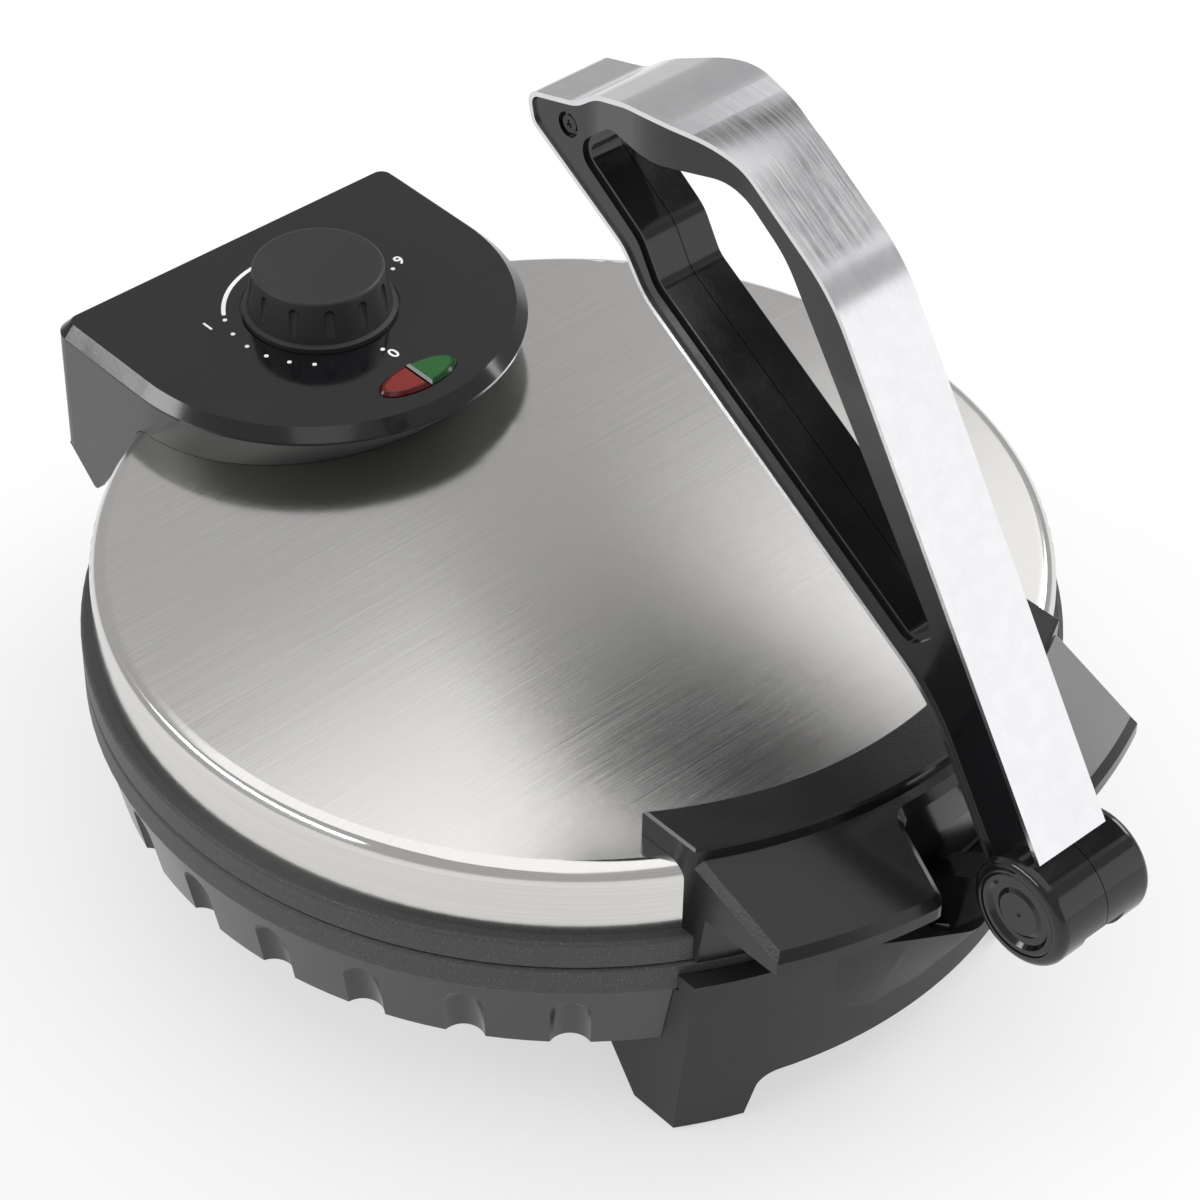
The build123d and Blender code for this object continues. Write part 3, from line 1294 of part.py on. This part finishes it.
# Screws of the lever halves, one at the tip and one in the stem
with BuildPart() as lever_screws:
    for way, spot in ((-1, TIP_SCREW), (1, STEM_SCREW)):
        head_x = way * (LEVER_HALF_WIDTH - BAND_OVERHANG - SCREW_WELL_DEPTH)
        with BuildSketch(lever_plane(head_x)):
            with Locations(spot):
                Circle(LEVER_SCREW_HEAD)
        extrude(amount=way * 0.8)
        with BuildSketch(lever_plane(head_x)):
            with Locations(spot):
                Circle(SCREW_RADIUS)
        extrude(amount=-way * (SCREW_LENGTH - SCREW_WELL_DEPTH - 1))
        with BuildSketch(lever_plane(head_x + way * 0.8)):
            with Locations(spot):
                Rectangle(2.6, 0.7)
                Rectangle(0.7, 2.6)
        extrude(amount=-way * 0.5, mode=Mode.SUBTRACT)
finish_piece(lever_screws, "lever_screws")


def hub_cap(way, name):
    """Ringed cap in the end of the hub."""
    inner = HUB_HALF_WIDTH - CAP_THICKNESS
    rim = CAP_RADIUS - FIT_GAP
    with BuildPart() as cap:
        with BuildSketch(HUB_SECTION):
            with BuildLine():
                Polyline(
                    (way * inner, 0),
                    (way * inner, rim),
                    (way * (inner + 2.6), rim),
                    (way * (inner + 2.9), rim - 0.8),
                    (way * (inner + 2.9), rim - 2.2),
                    (way * (inner + 1.6), rim - 3.4),
                    (way * (inner + 1.6), 8.6),
                    (way * (inner + 2.4), 7.2),
                    (way * (inner + 2.4), 1.0),
                    (way * (inner + 1.9), 0),
                    close=True,
                )
            make_face()
        revolve(axis=HUB_AXIS)
    finish_piece(cap, name)


hub_cap(-1, "hub_cap_left")
hub_cap(1, "hub_cap_right")
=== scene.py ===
import json
import math
import bpy
from mathutils import Matrix, Vector


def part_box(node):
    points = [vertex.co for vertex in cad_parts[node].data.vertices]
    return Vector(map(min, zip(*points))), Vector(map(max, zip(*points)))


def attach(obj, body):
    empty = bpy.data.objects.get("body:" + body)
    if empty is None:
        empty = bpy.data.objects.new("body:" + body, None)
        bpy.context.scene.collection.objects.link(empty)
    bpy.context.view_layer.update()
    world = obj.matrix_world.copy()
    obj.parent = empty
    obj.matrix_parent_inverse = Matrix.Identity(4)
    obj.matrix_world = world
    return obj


# Electric roti maker. Lengths are metres in the CAD frame: the hinge and the control box
# lie towards +y, the front handle and the lever's hub towards -y, and z is up.

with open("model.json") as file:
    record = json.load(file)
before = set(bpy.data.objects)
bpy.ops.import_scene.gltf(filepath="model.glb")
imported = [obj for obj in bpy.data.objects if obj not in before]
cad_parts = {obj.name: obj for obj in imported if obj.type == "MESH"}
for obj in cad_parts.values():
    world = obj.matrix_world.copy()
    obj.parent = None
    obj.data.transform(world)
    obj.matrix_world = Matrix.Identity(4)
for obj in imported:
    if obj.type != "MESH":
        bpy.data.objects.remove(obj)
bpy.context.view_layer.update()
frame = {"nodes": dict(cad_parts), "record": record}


# ---------------------------------------------------------------- camera
CAMERA_PLACE = Vector((-0.62971, -0.66237, 0.88859))
CAMERA_AZIMUTH = math.radians(-42.97)
CAMERA_ELEVATION = math.radians(40.61)
CAMERA_ROLL = math.radians(1.217)
FOCAL_LENGTH = 109.49  # millimetres, as Blender takes it
SENSOR_WIDTH = 36.0  # millimetres
SHIFT_X = 0.0051  # shares of the frame's width
SHIFT_Y = -0.0048
NEAR_CLIP = 0.05


def add_camera():
    """Camera at the photograph's place and angle."""
    back = Vector((
        math.sin(CAMERA_AZIMUTH) * math.cos(CAMERA_ELEVATION),
        -math.cos(CAMERA_AZIMUTH) * math.cos(CAMERA_ELEVATION),
        math.sin(CAMERA_ELEVATION),
    ))
    right = Vector((math.cos(CAMERA_AZIMUTH), math.sin(CAMERA_AZIMUTH), 0))
    up = back.cross(right)
    rolled_right = math.cos(CAMERA_ROLL) * right + math.sin(CAMERA_ROLL) * up
    rolled_up = math.cos(CAMERA_ROLL) * up - math.sin(CAMERA_ROLL) * right
    place = Matrix((rolled_right, rolled_up, back)).transposed().to_4x4()
    place.translation = CAMERA_PLACE
    data = bpy.data.cameras.new("camera")
    data.lens = FOCAL_LENGTH
    data.sensor_width = SENSOR_WIDTH
    data.sensor_fit = "HORIZONTAL"
    data.shift_x = SHIFT_X
    data.shift_y = SHIFT_Y
    data.clip_start = NEAR_CLIP
    camera = bpy.data.objects.new("camera", data)
    bpy.context.scene.collection.objects.link(camera)
    camera.matrix_world = place
    bpy.context.scene.camera = camera


add_camera()


# ---------------------------------------------------------------- materials
NOISE_LOW = 0.3  # most of a noise texture's values lie between these two
NOISE_HIGH = 0.7


class Shader:
    """One material's node tree. A value handed to it is a node's output, or else a plain
    number, vector or colour."""

    def __init__(self, name):
        self.material = bpy.data.materials.new(name)
        self.material.use_nodes = True
        self.nodes = self.material.node_tree.nodes
        self.base = self.nodes["Principled BSDF"]
        self.place = self.add("ShaderNodeTexCoord").outputs["Object"]

    def add(self, kind, **settings):
        node = self.nodes.new(kind)
        for key, value in settings.items():
            setattr(node, key, value)
        return node

    def feed(self, value, socket):
        """Links a node's output to the socket, or sets a plain value on it."""
        if isinstance(value, bpy.types.NodeSocket):
            self.material.node_tree.links.new(value, socket)
        else:
            socket.default_value = value

    def set(self, name, value):
        """Feeds one input of the material's own shader."""
        self.feed(value, self.base.inputs[name])

    def noise(self, scale, detail, rough=0.5):
        """Noise with about scale lumps to the metre: one number, or one for each axis."""
        stretch = self.add("ShaderNodeMapping")
        self.feed(self.place, stretch.inputs["Vector"])
        self.feed(scale if isinstance(scale, tuple) else (scale,) * 3, stretch.inputs["Scale"])
        node = self.add("ShaderNodeTexNoise")
        self.feed(stretch.outputs["Vector"], node.inputs["Vector"])
        self.feed(1.0, node.inputs["Scale"])
        self.feed(detail, node.inputs["Detail"])
        self.feed(rough, node.inputs["Roughness"])
        return node.outputs["Fac"]

    def span(self, value, start, end, low=0.0, high=1.0):
        """Stretches start to end over low to high, and holds the value beyond them."""
        node = self.add("ShaderNodeMapRange")
        self.feed(value, node.inputs["Value"])
        self.feed(start, node.inputs["From Min"])
        self.feed(end, node.inputs["From Max"])
        self.feed(low, node.inputs["To Min"])
        self.feed(high, node.inputs["To Max"])
        return node.outputs["Result"]

    def spread(self, noise, low=0.0, high=1.0):
        """Stretches a noise's usual range over low to high."""
        return self.span(noise, NOISE_LOW, NOISE_HIGH, low, high)

    def math(self, operation, *values):
        node = self.add("ShaderNodeMath", operation=operation)
        for value, socket in zip(values, node.inputs):
            self.feed(value, socket)
        return node.outputs["Value"]

    def total(self, first, *others):
        for other in others:
            first = self.math("ADD", first, other)
        return first

    def length(self, vector):
        node = self.add("ShaderNodeVectorMath", operation="LENGTH")
        self.feed(vector, node.inputs[0])
        return node.outputs["Value"]

    def axes(self, vector):
        """The vector's x, y and z."""
        node = self.add("ShaderNodeSeparateXYZ")
        self.feed(vector, node.inputs["Vector"])
        return tuple(node.outputs)

    def mix(self, kind, factor, first, second):
        """First where factor is 0 and second where it is 1, both data of that kind."""
        node = self.add("ShaderNodeMix", data_type=kind)
        for name, value in (("Factor", factor), ("A", first), ("B", second)):
            self.feed(value, node.inputs[name])
        return node.outputs["Result"]

    def colours(self, factor, first, second):
        return self.mix("RGBA", factor, (*first, 1), (*second, 1))

    def bump(self, height, depth, strength=1.0, under=None):
        """Normal of a surface raised by up to depth, laid over the normal under it."""
        node = self.add("ShaderNodeBump")
        self.feed(height, node.inputs["Height"])
        self.feed(depth, node.inputs["Distance"])
        self.feed(strength, node.inputs["Strength"])
        if under is not None:
            self.feed(under, node.inputs["Normal"])
        return node.outputs["Normal"]


def moulded(name, colour, roughness, grain, depth, wave=0.0, specular=0.5):
    """Moulded plastic or rubber: grain of so many lumps to the metre and so deep, a gloss
    that is slowly uneven, and where wave isn't 0, a faintly wavy surface of that depth."""
    mat = Shader(name)
    slow = mat.noise(scale=18.0, detail=3.0)
    fine = mat.noise(scale=grain, detail=2.0, rough=0.6)
    paler = tuple(part * 1.25 for part in colour)
    mat.set("Base Color", mat.colours(mat.spread(slow), colour, paler))
    mat.set("Roughness", mat.total(
        mat.spread(slow, low=-0.05, high=0.05),
        roughness,
        mat.span(fine, 0.0, 1.0, low=-0.03, high=0.03),
    ))
    normal = mat.bump(fine, depth)
    if wave:
        normal = mat.bump(mat.noise(scale=45.0, detail=1.0), wave, under=normal)
    mat.set("Normal", normal)
    mat.set("Specular IOR Level", specular)
    return mat.material


def brushed_steel():
    """Lid cover: straight brush lines across the top, drawn lines round the side."""
    mat = Shader("brushed_steel")
    upward = mat.axes(mat.add("ShaderNodeNewGeometry").outputs["Normal"])[2]
    on_top = mat.span(upward, 0.6, 0.9)  # the rounded edge blends side and top
    top_lines = mat.noise(scale=(9, 5200, 300), detail=3.0, rough=0.6)
    top_streaks = mat.noise(scale=(3, 420, 60), detail=2.0)
    side_lines = mat.noise(scale=(8, 8, 2600), detail=4.0, rough=0.65)
    stains = mat.noise(scale=9.0, detail=4.0)
    brush = mat.mix("FLOAT", on_top, side_lines, top_lines)
    mat.set("Base Color", mat.colours(mat.spread(brush), (0.61, 0.60, 0.585), (0.70, 0.69, 0.675)))
    mat.set("Roughness", mat.total(
        mat.spread(brush, low=-0.02, high=0.02),
        mat.span(stains, 0.35, 0.65, low=0.105, high=0.125),
        mat.span(top_streaks, 0.0, 1.0, low=-0.006, high=0.006),
    ))
    mat.set("Metallic", 1.0)
    mat.set("Anisotropic", 0.9)
    # highlights spread across the lines: upright on the side, along y on the top
    mat.set("Tangent", mat.mix("VECTOR", on_top, (0, 0, 1), (0, 1, 0)))
    mat.set("Normal", mat.bump(brush, depth=0.000012, strength=0.6))
    return mat.material


def polished_metal():
    """Lever band: polished casting with a slow wave, a soft mottle and hairlines."""
    mat = Shader("polished_metal")
    wave = mat.noise(scale=12.0, detail=1.0)
    mottle = mat.noise(scale=160.0, detail=3.0, rough=0.6)
    hairlines = mat.noise(scale=(1400, 30, 30), detail=3.0)
    mat.set("Base Color", mat.colours(mat.spread(mottle), (0.66, 0.66, 0.68), (0.70, 0.70, 0.715)))
    mat.set("Roughness", mat.total(
        mat.spread(wave, low=0.15, high=0.18),
        mat.spread(mottle, low=-0.006, high=0.01),
        mat.spread(hairlines, low=-0.02, high=0.03),
    ))
    mat.set("Metallic", 1.0)
    waved = mat.bump(wave, depth=0.00006, strength=0.6)
    mat.set("Normal", mat.bump(hairlines, depth=0.0000006, strength=0.5, under=waved))
    return mat.material


def coated_cast():
    """Non-stick coat on the cast plates: black with pale specks, slightly rough."""
    mat = Shader("coated_cast")
    grain = mat.noise(scale=1500.0, detail=3.0, rough=0.6)
    specks = mat.span(mat.noise(scale=2600.0, detail=1.0), 0.66, 0.74)
    mat.set("Base Color", mat.colours(specks, (0.040, 0.041, 0.041), (0.20, 0.195, 0.19)))
    mat.set("Roughness", mat.span(grain, 0.0, 1.0, low=0.42, high=0.62))
    mat.set("Normal", mat.bump(grain, depth=0.00012, strength=0.8))
    return mat.material


def plain_metal(name, colour, roughness):
    """Small fittings and sheet trays: faint mottle and rub marks."""
    mat = Shader(name)
    mottle = mat.noise(scale=120.0, detail=4.0)
    darker = tuple(part * 0.8 for part in colour)
    mat.set("Base Color", mat.colours(mat.spread(mottle), colour, darker))
    mat.set("Roughness", mat.spread(mottle, low=roughness - 0.08, high=roughness + 0.1))
    mat.set("Metallic", 1.0)
    mat.set("Normal", mat.bump(mottle, depth=0.00005, strength=0.5))
    return mat.material


LENS_BORDER_X = 0.0020  # plain border round the ribs of the lamp window, painted darker as shade
LENS_BORDER_Y = 0.0017
SPLIT_SHADED = 0.0013  # painted shade to this far from the split between the lenses, at x = 0
SPLIT_CLEAR = 0.0016  # and no painted shade from here on
RIB_TURN = 9000.0  # radians of rib for each metre of x + y: 0.5 mm from rib to rib


def lens(name, colour, painted_shade_colour):
    """Tinted lamp lens: a field of fine diagonal ribs inside a plain border. The border and the
    split between the lenses are painted darker as shade, and the ribs are painted in lighter and
    darker stripes as light and shade on them.
    """
    mat = Shader(name)
    low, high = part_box("lens_red")[0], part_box("lens_green")[1]
    middle = (low + high) / 2
    half = (high - low) / 2
    oval = mat.add("ShaderNodeMapping", vector_type="TEXTURE")
    mat.feed(mat.place, oval.inputs["Vector"])
    mat.feed((middle.x, middle.y, 0), oval.inputs["Location"])
    mat.feed((half.x - LENS_BORDER_X, half.y - LENS_BORDER_Y, 1), oval.inputs["Scale"])
    # 1 within the oval and 0 outside it, with a soft edge
    inside = mat.span(mat.length(oval.outputs["Vector"]), 0.97, 1.05, low=1.0, high=0.0)
    x, y, _ = mat.axes(mat.place)
    off_split = mat.span(mat.math("ABSOLUTE", x), SPLIT_SHADED, SPLIT_CLEAR)
    field = mat.math("MULTIPLY", inside, off_split)
    wave = mat.math("SINE", mat.math("MULTIPLY", mat.math("ADD", x, y), RIB_TURN))
    ribs = mat.span(wave, -1.0, 1.0)
    # painted light and shade: the border and the split take the painted shade colour, and the ribs
    # are painted lighter and darker
    lit = mat.math("MULTIPLY", field, mat.span(ribs, 0.0, 1.0, low=0.6, high=1.0))
    mat.set("Base Color", mat.colours(lit, painted_shade_colour, colour))
    mat.set("Roughness", 0.12)
    mat.set("IOR", 1.49)
    mat.set("Specular IOR Level", 0.35)
    ribbed = mat.bump(mat.math("MULTIPLY", ribs, field), depth=0.00005, strength=0.5)
    clouds = mat.noise(scale=220.0, detail=1.0)
    clouded = mat.bump(clouds, depth=0.00004, strength=0.4, under=ribbed)
    mat.set("Normal", mat.bump(field, depth=0.0002, strength=0.6, under=clouded))
    return mat.material


PLASTICS = {
    "gloss_black": dict(colour=(0.006, 0.006, 0.007), roughness=0.10,
                        grain=700.0, depth=0.000006, wave=0.00012),
    "satin_black": dict(colour=(0.008, 0.008, 0.009), roughness=0.20,
                        grain=900.0, depth=0.00002, specular=0.4),
    "knob_plastic": dict(colour=(0.017, 0.017, 0.0185), roughness=0.44,
                         grain=1800.0, depth=0.00005, specular=0.35),
    "box_plastic": dict(colour=(0.050, 0.053, 0.050), roughness=0.40,
                        grain=2200.0, depth=0.00006),
    "pedestal_plastic": dict(colour=(0.017, 0.017, 0.017), roughness=0.50,
                             grain=2400.0, depth=0.00009, specular=0.35),
    "skirt_plastic": dict(colour=(0.028, 0.029, 0.032), roughness=0.22,
                          grain=1500.0, depth=0.00002),
    "pad_rubber": dict(colour=(0.018, 0.018, 0.018), roughness=0.72,
                       grain=1200.0, depth=0.0001),
    "pale_phenolic": dict(colour=(0.55, 0.48, 0.36), roughness=0.5,
                          grain=900.0, depth=0.00005),
    "white_print": dict(colour=(0.75, 0.75, 0.75), roughness=0.5,
                        grain=2400.0, depth=0.00002),
}

SLOT_MATERIALS = {slot: moulded(slot, **look) for slot, look in PLASTICS.items()}
SLOT_MATERIALS.update({
    "brushed_cover": brushed_steel(),
    "polished_band": polished_metal(),
    "coated_plate": coated_cast(),
    "plated_steel": plain_metal("plated_steel", colour=(0.55, 0.55, 0.56), roughness=0.32),
    "tray_aluminium": plain_metal("tray_aluminium", colour=(0.75, 0.75, 0.76), roughness=0.38),
    # the second colour of each lens is painted shade, for its border and the split between the
    # lenses
    "red_lens": lens("red_lens", colour=(0.20, 0.009, 0.005), painted_shade_colour=(0.06, 0.002, 0.002)),
    "green_lens": lens("green_lens", colour=(0.006, 0.100, 0.009), painted_shade_colour=(0.002, 0.030, 0.004)),
})

for entry in frame["record"]["subparts"]:
    piece = frame["nodes"][entry["node"]]
    piece.data.materials.clear()
    piece.data.materials.append(SLOT_MATERIALS[entry["material_slot"]])

# the lever's screws are dark in the photograph
black_steel = plain_metal("black_steel", colour=(0.06, 0.06, 0.065), roughness=0.3)
frame["nodes"]["lever_screws"].data.materials[0] = black_steel


# ---------------------------------------------------------------- dial numbers
NUMBER_SIZE = 0.0066
PRINT_HALF_THICKNESS = 0.00006
STROKE_GROWTH = 0.0001
NUMBERS = {  # the middle of each number, in x and y from the knob's centre
    "0": (0.0020, -0.0378),
    "1": (-0.0366, 0.0160),
    "9": (0.0385, 0.0030),
}


def add_number(text, x, y):
    """Number printed on the control panel, its underside level with the dial marks'."""
    knob_low, knob_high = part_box("knob")
    centre = (knob_low + knob_high) / 2
    print_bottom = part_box("dial_marks")[0].z
    curve = bpy.data.curves.new("number_" + text, "FONT")
    curve.body = text
    curve.size = NUMBER_SIZE
    curve.align_x = "CENTER"
    curve.align_y = "CENTER"
    curve.extrude = PRINT_HALF_THICKNESS
    curve.offset = STROKE_GROWTH
    curve.materials.append(SLOT_MATERIALS["white_print"])
    number = bpy.data.objects.new("number_" + text, curve)
    number.location = (centre.x + x, centre.y + y, print_bottom + PRINT_HALF_THICKNESS)
    bpy.context.scene.collection.objects.link(number)
    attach(number, "lid")


for digit, (from_knob_x, from_knob_y) in NUMBERS.items():
    add_number(digit, from_knob_x, from_knob_y)


# ---------------------------------------------------------------- floor and light
FLOOR_SIZE = 24.0
FLOOR_WHITE = 0.6  # share of plain white that the camera and reflections see in the floor
FADE_START = 0.7  # from here to the fade's end the camera's share rises to 1
FADE_END = 2.4
WORLD_LEVEL = 0.52  # the world as it lights the object and is mirrored in it


def add_floor():
    """Pale floor. Plain white is mixed in for the camera, metal and glass, and far from
    the object the camera sees nothing else."""
    mat = Shader("floor_paper")
    tooth = mat.noise(scale=400.0, detail=3.0)
    mat.set("Base Color", mat.colours(tooth, (0.86, 0.86, 0.86), (0.90, 0.90, 0.90)))
    mat.set("Roughness", 0.75)
    mat.set("Normal", mat.bump(tooth, depth=0.00002, strength=0.4))
    rays = mat.add("ShaderNodeLightPath").outputs
    mirrored = mat.math("MAXIMUM", rays["Is Glossy Ray"], rays["Is Transmission Ray"])
    far = mat.span(mat.length(mat.place), FADE_START, FADE_END, low=FLOOR_WHITE, high=1.0)
    white_share = mat.math(
        "MAXIMUM",
        mat.math("MULTIPLY", mirrored, FLOOR_WHITE),
        mat.math("MULTIPLY", rays["Is Camera Ray"], far),
    )
    blend = mat.add("ShaderNodeMixShader")
    mat.feed(white_share, blend.inputs[0])
    mat.feed(mat.base.outputs["BSDF"], blend.inputs[1])
    mat.feed(mat.add("ShaderNodeEmission").outputs["Emission"], blend.inputs[2])
    mat.feed(blend.outputs["Shader"], mat.nodes["Material Output"].inputs["Surface"])
    bpy.ops.mesh.primitive_plane_add(size=FLOOR_SIZE)
    floor = bpy.context.object
    floor.name = "floor"
    floor.data.materials.append(mat.material)


def add_flag(middle, width, length):
    """Dark felt strip under the gap between the two overhead softboxes."""
    mat = Shader("felt")
    nap = mat.noise(scale=500.0, detail=3.0)
    mat.set("Base Color", mat.colours(nap, (0.02, 0.02, 0.02), (0.05, 0.05, 0.05)))
    mat.set("Roughness", 0.95)
    mat.set("Specular IOR Level", 0.1)
    bpy.ops.mesh.primitive_plane_add(size=1.0, location=middle)
    flag = bpy.context.object
    flag.name = "flag"
    flag.scale = (width, length, 1)
    flag.data.materials.append(mat.material)


def add_light(name, spot, aim, width, length, radiance):
    """Softbox that adds radiance, where 1 is white, to the world seen behind it."""
    data = bpy.data.lights.new(name, "AREA")
    data.shape = "RECTANGLE"
    data.size = width
    data.size_y = length
    data.energy = radiance * math.pi * width * length
    light = bpy.data.objects.new(name, data)
    light.location = spot
    way = Vector(aim) - Vector(spot)
    light.rotation_euler = way.to_track_quat("-Z", "Y").to_euler()
    bpy.context.scene.collection.objects.link(light)


def add_world():
    """White world: a soft fill on the object, and plain white to the camera."""
    world = bpy.data.worlds.new("studio")
    world.use_nodes = True
    nodes = world.node_tree.nodes
    links = world.node_tree.links
    backdrop = nodes["Background"]
    backdrop.inputs["Color"].default_value = (1, 1, 1, 1)
    rays = nodes.new("ShaderNodeLightPath")
    level = nodes.new("ShaderNodeMapRange")
    level.inputs["To Min"].default_value = WORLD_LEVEL
    level.inputs["To Max"].default_value = 1.0
    links.new(rays.outputs["Is Camera Ray"], level.inputs["Value"])
    links.new(level.outputs["Result"], backdrop.inputs["Strength"])
    bpy.context.scene.world = world


add_floor()
# the gap over the flag gives the dark streak in the lid
add_flag(middle=(1.06, 0.18, 1.54), width=0.28, length=1.88)
add_light("softbox_near", spot=(0.0, 0.1, 1.55), aim=(0.0, 0.09, 0.0),
          width=1.94, length=2.24, radiance=0.86)
add_light("softbox_far", spot=(1.66, 0.1, 1.55), aim=(1.66, 0.09, 0.0),
          width=0.96, length=2.24, radiance=0.8)
add_light("softbox_front", spot=(1.0, -1.8, 0.65), aim=(0.0, -0.2, 0.2),
          width=1.8, length=1.2, radiance=0.82)
add_light("softbox_side", spot=(1.9, -0.2, 1.45), aim=(0.0, 0.0, 0.1),
          width=1.2, length=1.0, radiance=5.2)
add_light("strip_left", spot=(-2.1, 1.0, 1.5), aim=(0.0, 0.0, 0.1),
          width=2.4, length=0.4, radiance=8.0)
add_world()
bpy.context.scene.view_settings.view_transform = "Standard"
